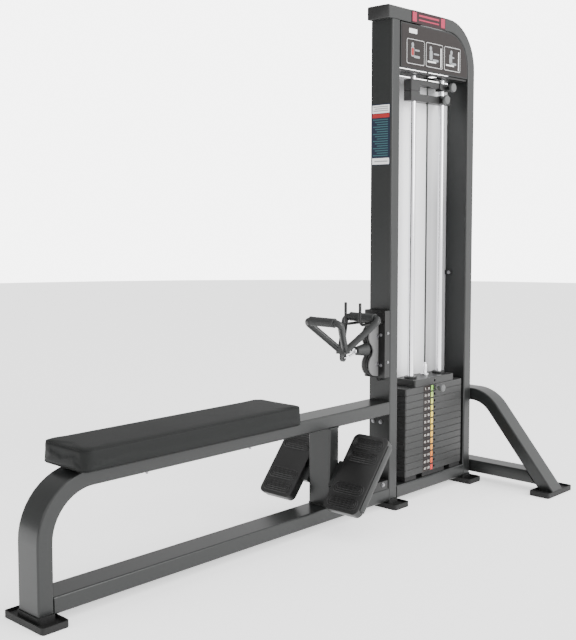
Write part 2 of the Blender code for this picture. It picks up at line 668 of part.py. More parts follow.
def top_pulley_bracket():
    """Plate under the beam with a pin for each top pulley."""
    x0, x1 = FRONT_X + TUBE_T / 2 + GAP + 0.001, 1.800
    outline = [(x0, 1.712), (TOP_REAR_X, 1.712), (x1, 1.740), (x1, BEAM_Z - TUBE_T / 2 - GAP),
               (x0, BEAM_Z - TUBE_T / 2 - GAP)]
    pins = [circle(x, TOP_Z, AXLE_R, PIN_SIDES) for x in (TOP_FRONT_X, TOP_REAR_X)]
    y_back, y_face, y_tip = 0.0195, 0.0135, -0.0145
    n = len(outline)
    verts = [(u, y_back, v) for u, v in outline] + [(u, y_face, v) for u, v in outline]
    faces = [tuple(t) for t in tessellate_polygon([[Vector((u, v, 0)) for u, v in outline]])]
    for k in range(n):
        a, b = k, (k + 1) % n
        faces.append((a, a + n, b + n, b))
    base = len(verts)
    for loop in pins:
        verts += [(u, y_face, v) for u, v in loop]
    for loop in pins:
        verts += [(u, y_tip, v) for u, v in loop]
    index = list(range(n, 2 * n)) + list(range(base, base + 2 * PIN_SIDES))
    holed = tessellate_polygon([[Vector((u, v, 0)) for u, v in loop] for loop in [outline] + pins])
    faces += [tuple(index[i] for i in reversed(t)) for t in holed]
    for p in range(2):
        start = base + PIN_SIDES * p
        for k in range(PIN_SIDES):
            a, b = start + k, start + (k + 1) % PIN_SIDES
            faces.append((a, a + 2 * PIN_SIDES, b + 2 * PIN_SIDES, b))
        faces.append(tuple(start + 2 * PIN_SIDES + k for k in range(PIN_SIDES)))
    return place("top_pulley_bracket", verts, faces, (BLACK, 0.0, 0.5))


def round_cable(name, path, pivot=(0.0, 0.0, 0.0)):
    """Steel cable in its plastic jacket along a plane path."""
    verts, faces = stack_loops(sweep(path, circle(0, 0, CABLE_R, 8), (0, 1, 0)))
    return place(name, verts, faces, (BLACK, 0.0, 0.4), pivot)


def cables():
    """The cable in three lengths: the lift, the fixed route and the pull."""
    up = Vector((0, 0, 1))
    round_cable("cable_lift", [(Vector((STACK_X, 0, 0.5208)), up), (Vector((STACK_X, 0, TOP_Z - GAP)), up)])
    top = TOP_Z + TOP_RC
    path = path_with_bends([(STACK_X, 0, TOP_Z), (STACK_X, 0, top), (STACK_X - 0.12, 0, top)], TOP_RC, 8)[1:-1]
    path += path_with_bends([(DROP_X + 0.12, 0, top), (DROP_X, 0, top), (DROP_X, 0, TOP_Z - 0.12)], TOP_RC, 8)[1:-1]
    low = path_with_bends([(DROP_X, 0, GUIDE_UP_Z + 0.12), (DROP_X, 0, PULL_Z), (GUIDE_X - 0.05, 0, PULL_Z)],
                          GUIDE_RC, 8)[1:-1]
    round_cable("cable_route", path + low)
    left = Vector((-1, 0, 0))
    round_cable("cable_pull", [(Vector((GUIDE_X - GAP, 0, PULL_Z)), left), (Vector((1.4613, 0, PULL_Z)), left)])


# ------------------------------------------------------------ handle and hook
def cable_stop():
    """Rubber cone that stops against the guide pulleys."""
    profile = [(0.0120, -1.3930), (0.0155, -1.3950), (0.0165, -1.4035), (0.0235, -1.4465),
               (0.0225, -1.4515), (0.0090, -1.4605)]
    verts, faces = lathe(profile, lambda a, b, c: (-c, a, PULL_Z + b), 24)
    return place("cable_stop", verts, faces, (RUBBER, 0.0, 0.7))


def cable_eye():
    """Flat steel eye on the end of the cable."""
    outline = [(1.3927, PULL_Z - 0.007), (1.3927, PULL_Z + 0.007)]
    outline += arc(1.3800, PULL_Z, 0.0115, 65, 295, 12)
    hole = circle(1.3800, PULL_Z, 0.0062, 14)
    verts, faces = slab(outline, [hole], -0.004, 0.004, lambda u, v, w: (u, w, v))
    return place("cable_eye", verts, faces, (CHROME, 1.0, 0.2))


def snap_hook():
    """Closed snap link between the cable's eye and the handle's lug."""
    a = Vector((1.3802, 0.0, PULL_Z - 0.0022))
    b = Vector((1.3195, 0.0, 0.5905))
    along = (a - b).normalized()
    mid = (a + b) / 2
    half = (a - b).length / 2
    across = Vector((0, 1, 0))
    up = along.cross(across).normalized()
    loops = []
    count = 22
    for k in range(count):
        t = 2 * math.pi * k / count
        c, s = math.cos(t), math.sin(t)
        x = half * math.copysign(abs(c) ** 0.8, c)
        y = 0.0140 * math.copysign(abs(s) ** 0.7, s)
        nx, ny = x / half ** 2, y / 0.0140 ** 2
        length = math.hypot(nx, ny)
        out = (along * nx + across * ny) / length
        centre = mid + along * x + across * y
        loops.append([centre + out * 0.0028 * math.cos(2 * math.pi * j / 6)
                      + up * 0.0028 * math.sin(2 * math.pi * j / 6) for j in range(6)])
    verts, faces = ring_loops(loops)
    return place("snap_hook", verts, faces, (CHROME, 1.0, 0.2))


def handle_loop(side):
    """One arm-grip-arm loop of the handle as a bent round bar."""
    apex = Vector((APEX[0] + side * 0.004, 0.0, APEX[1]))
    gx = APEX[0] + side * GRIP_DX
    left = Vector((gx, GRIP_HALF, GRIP_Z))
    right = Vector((gx, -GRIP_HALF, GRIP_Z))
    corners = [apex + Vector((0, 0.0128, 0)), left, right, apex - Vector((0, 0.0128, 0))]
    normal = (left - corners[0]).cross(right - corners[0]).normalized()
    path = path_with_bends(corners, 0.016, 5)
    return stack_loops(sweep(path, circle(0, 0, ARM_R, 14), normal))


def handle_frame():
    """Handle: two loops welded to a block with a drilled lug below."""
    verts, faces = slab([(APEX[0] - 0.018, -0.0205), (APEX[0] + 0.018, -0.0205),
                         (APEX[0] + 0.018, 0.0205), (APEX[0] - 0.018, 0.0205)], [],
                        APEX[1] - 0.013, APEX[1] + 0.014, lambda u, v, w: (u, v, w))
    obj = place("handle_frame", verts, faces, (BLACK, 0.2, 0.45))
    parts = []
    for side in (-1, 1):
        verts, faces = handle_loop(side)
        parts.append(place("join_loop%+d" % side, verts, faces, (BLACK,)))
    outline = [(APEX[0] - 0.0145, APEX[1] - 0.008), (APEX[0] - 0.0145, 0.5905)]
    outline += arc(APEX[0], 0.5905, 0.0145, 190, 350, 8)
    outline += [(APEX[0] + 0.0145, 0.5905), (APEX[0] + 0.0145, APEX[1] - 0.008)]
    hole = circle(APEX[0], 0.5905, 0.0066, 14)
    verts, faces = slab(outline, [hole], -0.0043, 0.0041, lambda u, v, w: (u, w, v))
    parts.append(place("join_lug", verts, faces, (BLACK,)))
    return combine(obj, parts, "UNION", crossing=True)


def handle_grip(name, side):
    """Rubber sleeve round one of the handle's bars."""
    x = APEX[0] + side * GRIP_DX
    bore = ARM_R + GAP
    e = GRIP_HALF - 0.0255
    profile = [(bore, -e), (GRIP_R - 0.002, -e), (GRIP_R, -e + 0.004), (GRIP_R, e - 0.004),
               (GRIP_R - 0.002, e), (bore, e)]
    verts, faces = lathe(profile, lambda a, b, c: (x + a, c, GRIP_Z + b), 20, closed=True)
    return place(name, verts, faces, (RUBBER, 0.0, 0.8))


# -------------------------------------------------------------------- panels
def placard():
    """Instruction board that fills the corner under the top beam."""
    x0, x1 = FRONT_X + TUBE_T / 2 + 0.003, REAR_X - TUBE_T / 2 - 0.003
    z0, z1 = 1.6545, BEAM_Z - TUBE_T / 2 - 0.003
    r = BEND_R - TUBE_T / 2 - 0.003
    outline = [(x0, z0), (x1, z0)] + arc(x1 - r, z1 - r, r, 0, 90, 10) + [(x0, z1)]
    verts, faces = slab(outline, [], -0.0495, -0.0440, lambda u, v, w: (u, w, v))
    return place("placard", verts, faces, (BLACK, 0.0, 0.4))


def rear_guard():
    """Pale guard sheet behind the weight stack."""
    verts, faces = slab([(1.545, 0.090), (2.080, 0.090), (2.080, 1.644), (1.545, 1.644)], [],
                        TUBE_W / 2 + GAP, TUBE_W / 2 + GAP + 0.003, lambda u, v, w: (u, w, v))
    return place("rear_guard", verts, faces, (WHITE, 0.0, 0.5))


def build():
    """Clear the scene and make every piece."""
    for obj in list(bpy.data.objects):
        bpy.data.objects.remove(obj, do_unlink=True)
    bench_tube()
    straight_tube("lower_rail", LEG_X + TUBE_T / 2 + GAP, FRONT_X - TUBE_T / 2 - GAP, RAIL_LOW_Z)
    straight_tube("base_beam", FRONT_X + TUBE_T / 2 + GAP, REAR_X - TUBE_T / 2 - GAP, RAIL_LOW_Z)
    middle_post()
    front_upright()
    top_arch()
    stabiliser_arch()
    stabiliser_cross()
    foot_pad("foot_pad_bench", LEG_X, 0.0, False, (1,))
    foot_pad("foot_pad_front", FRONT_X, 0.0, False, (-1, 1))
    foot_pad("foot_pad_rear", REAR_X, 0.0, False, (-1,))
    foot_pad("foot_pad_left", STAB_PAD_X, 0.3955, True, ())
    foot_pad("foot_pad_right", STAB_PAD_X, -0.3955, True, ())
    seat_pad()
    for name, side in (("left", 1), ("right", -1)):
        foot_plate("foot_plate_" + name, side)
        foot_bracket("foot_bracket_" + name, side)
    pulley_mount()
    pulley_cheeks()
    pulley("guide_pulley_upper", GUIDE_X, GUIDE_UP_Z, GUIDE_RC, GUIDE_RO)
    pulley("guide_pulley_lower", GUIDE_X, GUIDE_LOW_Z, GUIDE_RC, GUIDE_RO)
    top_pulley_bracket()
    pulley("top_pulley_front", TOP_FRONT_X, TOP_Z, TOP_RC, TOP_RO)
    pulley("top_pulley_rear", TOP_REAR_X, TOP_Z, TOP_RC, TOP_RO)
    cables()
    cable_stop()
    cable_eye()
    snap_hook()
    handle_frame()
    handle_grip("grip_user", -1)
    handle_grip("grip_tower", 1)
    guide_rod("guide_rod_front", -1)
    guide_rod("guide_rod_rear", 1)
    rod_bracket()
    stack_bumper()
    weight_plates()
    head_plate()
    selector_rod()
    selector_pin()
    addon_weight("addon_weight_upper", True)
    addon_weight("addon_weight_lower", False)
    addon_knob("addon_knob_upper", 1.9440, 1.6130)
    addon_knob("addon_knob_lower", 1.9000, 1.5620)
    placard()
    rear_guard()


build()
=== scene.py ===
"""Seated cable row: visible pieces and finishes built around the packed frame."""

import json
import math

import bmesh
import bpy
import numpy as np
from bpy.props import FloatProperty, FloatVectorProperty, IntProperty, PointerProperty
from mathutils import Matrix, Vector
from mathutils.bvhtree import BVHTree

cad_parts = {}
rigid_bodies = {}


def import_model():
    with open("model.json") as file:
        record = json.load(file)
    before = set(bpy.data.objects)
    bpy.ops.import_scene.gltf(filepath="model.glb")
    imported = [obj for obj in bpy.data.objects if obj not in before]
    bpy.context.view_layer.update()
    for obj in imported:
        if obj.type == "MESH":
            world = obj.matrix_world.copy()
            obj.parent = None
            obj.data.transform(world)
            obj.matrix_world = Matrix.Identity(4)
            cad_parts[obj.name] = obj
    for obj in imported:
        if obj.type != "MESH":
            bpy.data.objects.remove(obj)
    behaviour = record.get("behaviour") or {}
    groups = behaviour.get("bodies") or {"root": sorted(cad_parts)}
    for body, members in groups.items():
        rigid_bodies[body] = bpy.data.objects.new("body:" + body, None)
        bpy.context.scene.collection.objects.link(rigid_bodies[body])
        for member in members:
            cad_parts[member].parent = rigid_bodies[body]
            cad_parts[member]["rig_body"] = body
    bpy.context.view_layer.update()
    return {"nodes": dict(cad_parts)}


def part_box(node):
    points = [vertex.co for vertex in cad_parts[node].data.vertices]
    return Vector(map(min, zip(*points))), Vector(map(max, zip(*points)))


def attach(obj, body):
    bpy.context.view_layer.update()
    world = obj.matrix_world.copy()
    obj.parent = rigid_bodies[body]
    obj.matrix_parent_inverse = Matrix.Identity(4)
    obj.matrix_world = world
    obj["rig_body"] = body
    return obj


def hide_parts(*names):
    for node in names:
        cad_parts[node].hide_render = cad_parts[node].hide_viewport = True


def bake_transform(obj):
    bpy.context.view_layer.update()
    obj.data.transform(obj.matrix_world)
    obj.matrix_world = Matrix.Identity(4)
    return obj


bl_info = {
    "name": "Seated Cable Row",
    "version": (1, 0, 0),
    "blender": (4, 5, 0),
    "location": "View3D > Sidebar > Cable Row",
    "description": "Builds the visible pieces and finishes of a seated cable row",
    "category": "Add Mesh",
}

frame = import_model()
NODES = frame["nodes"]
ROOT = "frame"
LIFT = "lifted_stack"
HANDLE = "handle"

# Measured places, in metres. Those along X start at the bench leg's outer face.
SKIN = 0.0002                    # lift that keeps a fitting off the face it sits on
BLOCK_FACE_X = 1.505             # user side of the pulley block
BLOCK_SIDE_X = 1.524             # bolts through the block's side
GUIDE_X = 1.497                  # pins of the two guide pulleys
GUIDE_HEIGHTS = (0.551, 0.654)
CHEEK_FACE = 0.0185              # outer face of the pulley cheeks, along Y
APEX_X, APEX_Z = 1.320, 0.619    # where the handle's bars meet
LUG_Z = 0.5905                   # hole of the handle's lug
EYE_X = 1.3802                   # hole of the cable's eye
BAR_R = 0.0125                   # handle bar
GRIP_REACH = 0.083               # half the width of a handle loop
ROD_FOOT_Z = 0.0756              # where the rod collars stand
FRONT_FACE_X = 1.535             # user side of the front upright
REAR_FACE_X = 2.040              # user side of the rear upright
SEAT_BOLTS_X = (0.412, 0.844)
LABELS_X = (1.754, 1.820)        # number strip, left and right


def low(node):
    """Lowest corner of a CAD node."""
    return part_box(node)[0]


def high(node):
    """Highest corner of a CAD node."""
    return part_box(node)[1]


def middle(node):
    """Centre of a CAD node's box."""
    a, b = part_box(node)
    return (a + b) / 2


# ------------------------------------------------------------------ shaders
class Number:
    """A number socket that joins in arithmetic by adding Math nodes."""

    def __init__(self, paint, socket):
        self.paint = paint
        self.socket = socket

    def join(self, operation, *values):
        made = self.paint.add("ShaderNodeMath", {"operation": operation}, values)
        return Number(self.paint, made.outputs[0])

    def __add__(self, other):
        return self.join("ADD", self, other)

    def __radd__(self, other):
        return self.join("ADD", other, self)

    def __sub__(self, other):
        return self.join("SUBTRACT", self, other)

    def __rsub__(self, other):
        return self.join("SUBTRACT", other, self)

    def __mul__(self, other):
        return self.join("MULTIPLY", self, other)

    def __rmul__(self, other):
        return self.join("MULTIPLY", other, self)


class Paint:
    """One Principled material built up from node expressions."""

    def __init__(self, name, colour, roughness=0.5, metallic=0.0, **constants):
        self.material = bpy.data.materials.new(name)
        self.material.use_nodes = True
        self.tree = self.material.node_tree
        self.bsdf = self.tree.nodes["Principled BSDF"]
        self.bsdf.inputs["Base Color"].default_value = (*colour, 1.0)
        self.bsdf.inputs["Roughness"].default_value = roughness
        self.bsdf.inputs["Metallic"].default_value = metallic
        for key, value in constants.items():
            self.bsdf.inputs[key.replace("_", " ")].default_value = value
        self.colour = colour
        self.place = self.add("ShaderNodeTexCoord", {}, ()).outputs["Object"]

    def add(self, kind, settings, values):
        """Adds a node; values fill its inputs in order, or by name from a dict."""
        made = self.tree.nodes.new(kind)
        for key, value in settings.items():
            setattr(made, key, value)
        pairs = values.items() if isinstance(values, dict) else enumerate(values)
        for key, value in pairs:
            if isinstance(value, Number):
                value = value.socket
            if isinstance(value, bpy.types.NodeSocket):
                self.tree.links.new(value, made.inputs[key])
            else:
                made.inputs[key].default_value = value
        return made

    def axis(self, index):
        """One object coordinate, in metres."""
        split = self.add("ShaderNodeSeparateXYZ", {}, (self.place,))
        return Number(self, split.outputs[index])

    def noise(self, scale, detail=3.0, roughness=0.5, stretch=None):
        """Noise over the surface, from 0 to 1."""
        vector = self.place
        if stretch:
            vector = self.add("ShaderNodeMapping", {}, {"Vector": vector, "Scale": stretch}).outputs[0]
        made = self.add("ShaderNodeTexNoise", {}, {
            "Vector": vector, "Scale": scale, "Detail": detail, "Roughness": roughness})
        return Number(self, made.outputs[0])

    def cells(self, scale):
        """Distance to the nearest cell centre, for pebbled grain."""
        made = self.add("ShaderNodeTexVoronoi", {}, {"Vector": self.place, "Scale": scale})
        return Number(self, made.outputs["Distance"])

    def steps(self, value, start, end, out_low=0.0, out_high=1.0):
        """Maps a number's span to another span and holds it at the ends."""
        made = self.add("ShaderNodeMapRange", {}, (value, start, end, out_low, out_high))
        return Number(self, made.outputs[0])

    def mix(self, factor, first, second):
        """Blends two colours by a number."""
        made = self.add("ShaderNodeMix", {"data_type": "RGBA"}, {
            0: factor,
            6: first if isinstance(first, bpy.types.NodeSocket) else (*first, 1.0),
            7: second if isinstance(second, bpy.types.NodeSocket) else (*second, 1.0)})
        return made.outputs[2]

    def colour_from(self, socket):
        self.tree.links.new(socket, self.bsdf.inputs["Base Color"])
        return self

    def roughness_from(self, number):
        self.tree.links.new(number.socket, self.bsdf.inputs["Roughness"])
        return self

    def bump_from(self, number, strength=0.3, distance=0.0005):
        made = self.add("ShaderNodeBump", {}, {
            "Height": number, "Strength": strength, "Distance": distance})
        self.tree.links.new(made.outputs[0], self.bsdf.inputs["Normal"])
        return self


def shade(colour, factor):
    """A colour made lighter or darker."""
    return tuple(min(1.0, c * factor) for c in colour)


def powder_coat(name, colour, roughness=0.30, metallic=0.0, coat=0.05):
    """Sprayed paint: a faint orange peel, cloudy gloss and slight tone drift."""
    paint = Paint(name, colour, roughness, metallic, Coat_Weight=coat, Coat_Roughness=0.18,
                  Specular_IOR_Level=0.36)
    drift = paint.noise(3.0, 2.0)
    peel = paint.noise(420.0, 2.0)
    scuffs = paint.steps(paint.noise(38.0, 6.0, 0.7), 0.62, 0.72)
    paint.colour_from(paint.mix(drift, shade(colour, 0.93), shade(colour, 1.07)))
    paint.roughness_from(roughness - 0.04 + drift * 0.06 + scuffs * 0.06)
    return paint.bump_from(peel, 0.10, 0.0002)


def bright_metal(name, colour, roughness=0.16, streak=(1.0, 1.0, 40.0)):
    """Plated steel with faint polishing streaks and finger smudges."""
    paint = Paint(name, colour, roughness, 1.0)
    smudge = paint.noise(22.0, 4.0)
    lines = paint.noise(180.0, 2.0, 0.5, streak)
    paint.colour_from(paint.mix(smudge, shade(colour, 0.94), shade(colour, 1.03)))
    paint.roughness_from(roughness - 0.05 + smudge * 0.08 + lines * 0.03)
    return paint.bump_from(lines, 0.05, 0.0001)


def moulded(name, colour, roughness=0.6, grain=900.0, strength=0.25, **constants):
    """Moulded rubber or plastic with a fine spark-eroded grain."""
    paint = Paint(name, colour, roughness, 0.0, **constants)
    cloud = paint.noise(14.0, 4.0)
    fine = paint.noise(grain, 2.0)
    paint.colour_from(paint.mix(cloud, shade(colour, 0.86), shade(colour, 1.14)))
    paint.roughness_from(roughness - 0.06 + cloud * 0.12)
    return paint.bump_from(fine, strength, 0.0003)


def upholstery(name, colour):
    """Coated seat cover: pebbled grain, soft creases and worn sheen."""
    paint = Paint(name, colour, 0.55, 0.0, Specular_IOR_Level=0.16)
    pebbles = paint.cells(430.0)
    crease = paint.noise(60.0, 4.0, 0.6)
    wear = paint.noise(5.0, 3.0)
    tone = paint.mix(wear, shade(colour, 0.88), shade(colour, 1.10))
    paint.colour_from(paint.mix(pebbles * 0.5, tone, shade(colour, 0.7)))
    paint.roughness_from(0.42 + wear * 0.12 + pebbles * 0.10)
    return paint.bump_from(pebbles * 0.7 + crease * 0.3, 0.35, 0.0004)


def enamel(name, colour):
    """Grey enamel over cast steel, slightly uneven."""
    paint = Paint(name, colour, 0.42, 0.0, Specular_IOR_Level=0.35)
    lumps = paint.noise(90.0, 4.0, 0.6)
    fine = paint.noise(600.0, 2.0)
    paint.colour_from(paint.mix(lumps, shade(colour, 0.92), shade(colour, 1.06)))
    paint.roughness_from(0.36 + lumps * 0.14)
    return paint.bump_from(lumps * 0.6 + fine * 0.4, 0.22, 0.0004)


def printed(name, colour, roughness=0.5):
    """Printed film with a faint cloudy tone."""
    paint = Paint(name, colour, roughness, 0.0, Specular_IOR_Level=0.25)
    cloud = paint.noise(30.0, 3.0)
    paint.colour_from(paint.mix(cloud, shade(colour, 0.95), shade(colour, 1.05)))
    return paint.roughness_from(roughness - 0.04 + cloud * 0.08)


def guard_finish(name, colour, shade_colour, left, right):
    """White sheet that greys from one upright towards the other."""
    paint = Paint(name, colour, 0.45, 0.0)
    along = paint.steps(paint.axis(0), left, right)
    rise = paint.steps(paint.axis(2), 1.15, 1.55)
    fine = paint.noise(500.0, 2.0)
    cloud = paint.noise(4.0, 2.0)
    # painted shade on the sheet: darker towards the far upright, fading out higher up
    shadow = along * along * (1.0 - rise * 0.8)
    paint.colour_from(paint.mix(shadow, colour, shade_colour))
    paint.roughness_from(0.42 + cloud * 0.08)
    return paint.bump_from(fine, 0.06, 0.0002)


def load_scale(name, top_z, bottom_z):
    """Colour bar of the weight labels, green at the top to red at the foot."""
    paint = Paint(name, (0.6, 0.5, 0.1), 0.35, 0.0)
    drop = paint.steps(paint.axis(2), top_z, bottom_z)
    warm = paint.mix(paint.steps(drop, 0.05, 0.40), (0.25, 0.50, 0.10), (0.80, 0.55, 0.05))
    hot = paint.mix(paint.steps(drop, 0.45, 0.95), warm, (0.50, 0.03, 0.02))
    paint.colour_from(hot)
    cloud = paint.noise(60.0, 2.0)
    return paint.roughness_from(0.32 + cloud * 0.08)


# ------------------------------------------------------------------- meshes
def build_object(name, verts, faces, paint, body, slot=None, stands_for=(), crease=35.0):
    """Makes a closed piece, smooths it below the crease angle and mounts it."""
    mesh = bpy.data.meshes.new(name)
    mesh.from_pydata(np.asarray(verts, float).reshape(-1, 3).tolist(), [], faces)
    work = bmesh.new()
    work.from_mesh(mesh)
    bmesh.ops.remove_doubles(work, verts=work.verts, dist=1e-6)
    bmesh.ops.recalc_face_normals(work, faces=work.faces)
    work.to_mesh(mesh)
    work.free()
    obj = bpy.data.objects.new(name, mesh)
    bpy.context.scene.collection.objects.link(obj)
    return mount(obj, paint, body, stands_for, crease)


def mount(obj, paint, body, stands_for=(), crease=35.0):
    """Gives a piece its finish, shading, body, slot and the nodes it replaces."""
    mesh = obj.data
    mesh.materials.clear()
    mesh.materials.append(paint.material)
    mesh.shade_smooth()
    mesh.set_sharp_from_angle(angle=math.radians(crease))
    if body:
        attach(obj, body)
    if stands_for:
        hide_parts(*stands_for)
    return obj


def join_parts(parts):
    """Puts several (verts, faces) together as one."""
    verts, faces, base = [], [], 0
    for points, polygons in parts:
        points = np.asarray(points, float).reshape(-1, 3)
        verts.append(points)
        faces += [tuple(int(i) + base for i in polygon) for polygon in polygons]
        base += len(points)
    return np.concatenate(verts), faces


def grid_faces(rows, columns, closed_rows=False):
    """Quads of a grid whose columns wrap round; rows wrap too if closed."""
    i = np.arange(rows if closed_rows else rows - 1)[:, None]
    j = np.arange(columns)[None, :]
    a = i * columns + j
    b = i * columns + (j + 1) % columns
    c = ((i + 1) % rows) * columns + (j + 1) % columns
    d = ((i + 1) % rows) * columns + j
    return [tuple(q) for q in np.stack([a, b, c, d], -1).reshape(-1, 4).tolist()]


def skin(loops, closed=False):
    """Closed skin of equal loops: quads between them and a cap at each end."""
    points = np.asarray(loops, float)
    rows, columns = points.shape[:2]
    faces = grid_faces(rows, columns, closed)
    if not closed:
        faces.append(tuple(range(columns))[::-1])
        faces.append(tuple(range((rows - 1) * columns, rows * columns)))
    return points.reshape(-1, 3), faces


def basis(axis):
    """Two unit vectors square to an axis and each other."""
    axis = np.asarray(axis, float)
    axis = axis / np.linalg.norm(axis)
    helper = np.array([0.0, 0.0, 1.0]) if abs(axis[2]) < 0.9 else np.array([1.0, 0.0, 0.0])
    u = np.cross(helper, axis)
    u /= np.linalg.norm(u)
    return u, np.cross(axis, u), axis


def turned(profile, centre, axis, sides=48, closed=False):
    """Surface of revolution: each (radius, height) goes round the axis."""
    u, v, w = basis(axis)
    profile = np.asarray(profile, float)
    turn = np.linspace(0.0, 2.0 * math.pi, sides, endpoint=False)
    ring = np.cos(turn)[:, None] * u + np.sin(turn)[:, None] * v
    loops = profile[:, 0][:, None, None] * ring + profile[:, 1][:, None, None] * w + np.asarray(centre, float)
    return skin(loops, closed)


def bolt_head(centre, axis, radius, height):
    """Hex bolt on a washer: radius R cos(30)/cos(angle from each flat)."""
    u, v, w = basis(axis)
    turn = np.linspace(0.0, 2.0 * math.pi, 36, endpoint=False)
    hexagon = math.cos(math.pi / 6) / np.cos(turn % (math.pi / 3) - math.pi / 6)
    rows = ((1.28, 0.0, 0), (1.28, 0.16, 0), (1.22, 0.2, 0), (1.0, 0.2, 1), (1.0, 0.86, 1),
            (0.9, 0.98, 0), (0.55, 1.0, 0), (0.5, 0.94, 0))
    loops = []
    for size, rise, is_hex in rows:
        reach = size * radius * (hexagon if is_hex else np.ones_like(turn) * (0.96 if size <= 1 else 1))
        loops.append(reach[:, None] * (np.cos(turn)[:, None] * u + np.sin(turn)[:, None] * v)
                     + rise * height * w + np.asarray(centre, float))
    return skin(loops)


def carried(path, radius, sides=20, closed=False):
    """Tube along points: a circle square to the path at each one.

    The frames are carried along by taking the last side direction and
    removing its part along the new heading.
    """
    path = np.asarray(path, float)
    if closed:
        heading = np.roll(path, -1, 0) - np.roll(path, 1, 0)
    else:
        heading = np.gradient(path, axis=0)
    heading /= np.linalg.norm(heading, axis=1)[:, None]
    side = basis(heading[0])[0]
    sides_at = []
    for along in heading:
        side = side - along * (side @ along)
        side = side / np.linalg.norm(side)
        sides_at.append(side)
    side = np.array(sides_at)
    other = np.cross(heading, side)
    turn = np.linspace(0.0, 2.0 * math.pi, sides, endpoint=False)
    radii = np.broadcast_to(np.asarray(radius, float), (len(path),))[:, None, None]
    loops = path[:, None] + radii * (np.cos(turn)[None, :, None] * side[:, None]
                                     + np.sin(turn)[None, :, None] * other[:, None])
    return skin(loops, closed)


def rounded(half_u, half_v, radius, steps=6):
    """Outline of a rounded rectangle, anticlockwise."""
    radius = min(radius, half_u, half_v)
    quarter = np.linspace(0.0, math.pi / 2, steps + 1)
    out = []
    for turn, (su, sv) in enumerate(((1, 1), (-1, 1), (-1, -1), (1, -1))):
        a = quarter + turn * math.pi / 2
        out.append(np.stack([su * (half_u - radius) + radius * np.cos(a),
                             sv * (half_v - radius) + radius * np.sin(a)], -1))
    return np.concatenate(out)


def plate_on(origin, u, v, outline, depth, edge=0.0):
    """Thin plate: an outline in the plane of u and v, raised along u x v."""
    origin, u, v = (np.asarray(a, float) for a in (origin, u, v))
    w = np.cross(u, v)
    outline = np.asarray(outline, float)
    centre = outline.mean(0)
    reach = np.abs(outline - centre).max(0)
    shrink = (reach - edge) / reach
    rows = [(1.0, 0.0), (1.0, depth - edge * 0.6)]
    if edge:
        rows.append((None, depth))
    loops = []
    for scale, rise in rows:
        points = centre + (outline - centre) * (shrink if scale is None else scale)
        loops.append(origin + points[:, :1] * u + points[:, 1:] * v + rise * w)
    return skin(loops)


def bar(u0, u1, v0, v1, radius=0.0004, steps=2):
    """Outline of a small rounded bar between two corners."""
    return rounded((u1 - u0) / 2, (v1 - v0) / 2, radius, steps) + [(u0 + u1) / 2, (v0 + v1) / 2]


def refined(node, paint, bevel=0.0, crease=35.0):
    """Clean copy of a CAD node: merged, its edges softened, shaded smooth."""
    source = NODES[node]
    mesh = source.data.copy()
    work = bmesh.new()
    work.from_mesh(mesh)
    bmesh.ops.remove_doubles(work, verts=work.verts, dist=1e-6)
    bmesh.ops.dissolve_limit(work, angle_limit=math.radians(0.5), verts=work.verts, edges=work.edges)
    work.to_mesh(mesh)
    work.free()
    mesh.name = node + "_finish"
    obj = bpy.data.objects.new(node + "_finish", mesh)
    bpy.context.scene.collection.objects.link(obj)
    body = source["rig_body"]
    mount(obj, paint, body, (node,), crease)
    if bevel:
        soften = obj.modifiers.new("soft_edges", "BEVEL")
        soften.width = bevel
        soften.segments = 2
        soften.limit_method = "ANGLE"
        soften.angle_limit = math.radians(40.0)
        soften.harden_normals = True
        soften.use_clamp_overlap = True
    flats = obj.modifiers.new("flat_faces", "WEIGHTED_NORMAL")
    flats.keep_sharp = True
    flats.weight = 100
    return obj


def bent(corners, radius, steps=10):
    """Points along straight runs whose corners are arcs of one radius."""
    corners = [np.asarray(c, float) for c in corners]
    points = [corners[0]]
    for before, corner, after in zip(corners, corners[1:], corners[2:]):
        a = (corner - before) / np.linalg.norm(corner - before)
        b = (after - corner) / np.linalg.norm(after - corner)
        turn = math.acos(np.clip(a @ b, -1.0, 1.0))
        side = b - a * (a @ b)
        side /= np.linalg.norm(side)
        start = corner - a * radius * math.tan(turn / 2)
        t = np.linspace(0.0, turn, steps + 1)[:, None]
        points += list(start + a * radius * np.sin(t) + side * radius * (1 - np.cos(t)))
    points.append(corners[-1])
    return np.array(points)


LEG_FACE = low("bench_tube").x


def at(x, y, z):
    """A point measured along X from the bench leg's outer face."""
    return np.array([LEG_FACE + x, y, z])


def sizes():
    return bpy.context.scene.row_sizes


def colours():
    return bpy.context.scene.row_colours


PAINTS = {}


def paint(key):
    """Each finish is made once and shared by its pieces."""
    if key not in PAINTS:
        PAINTS[key] = FINISHES[key]()
    return PAINTS[key]


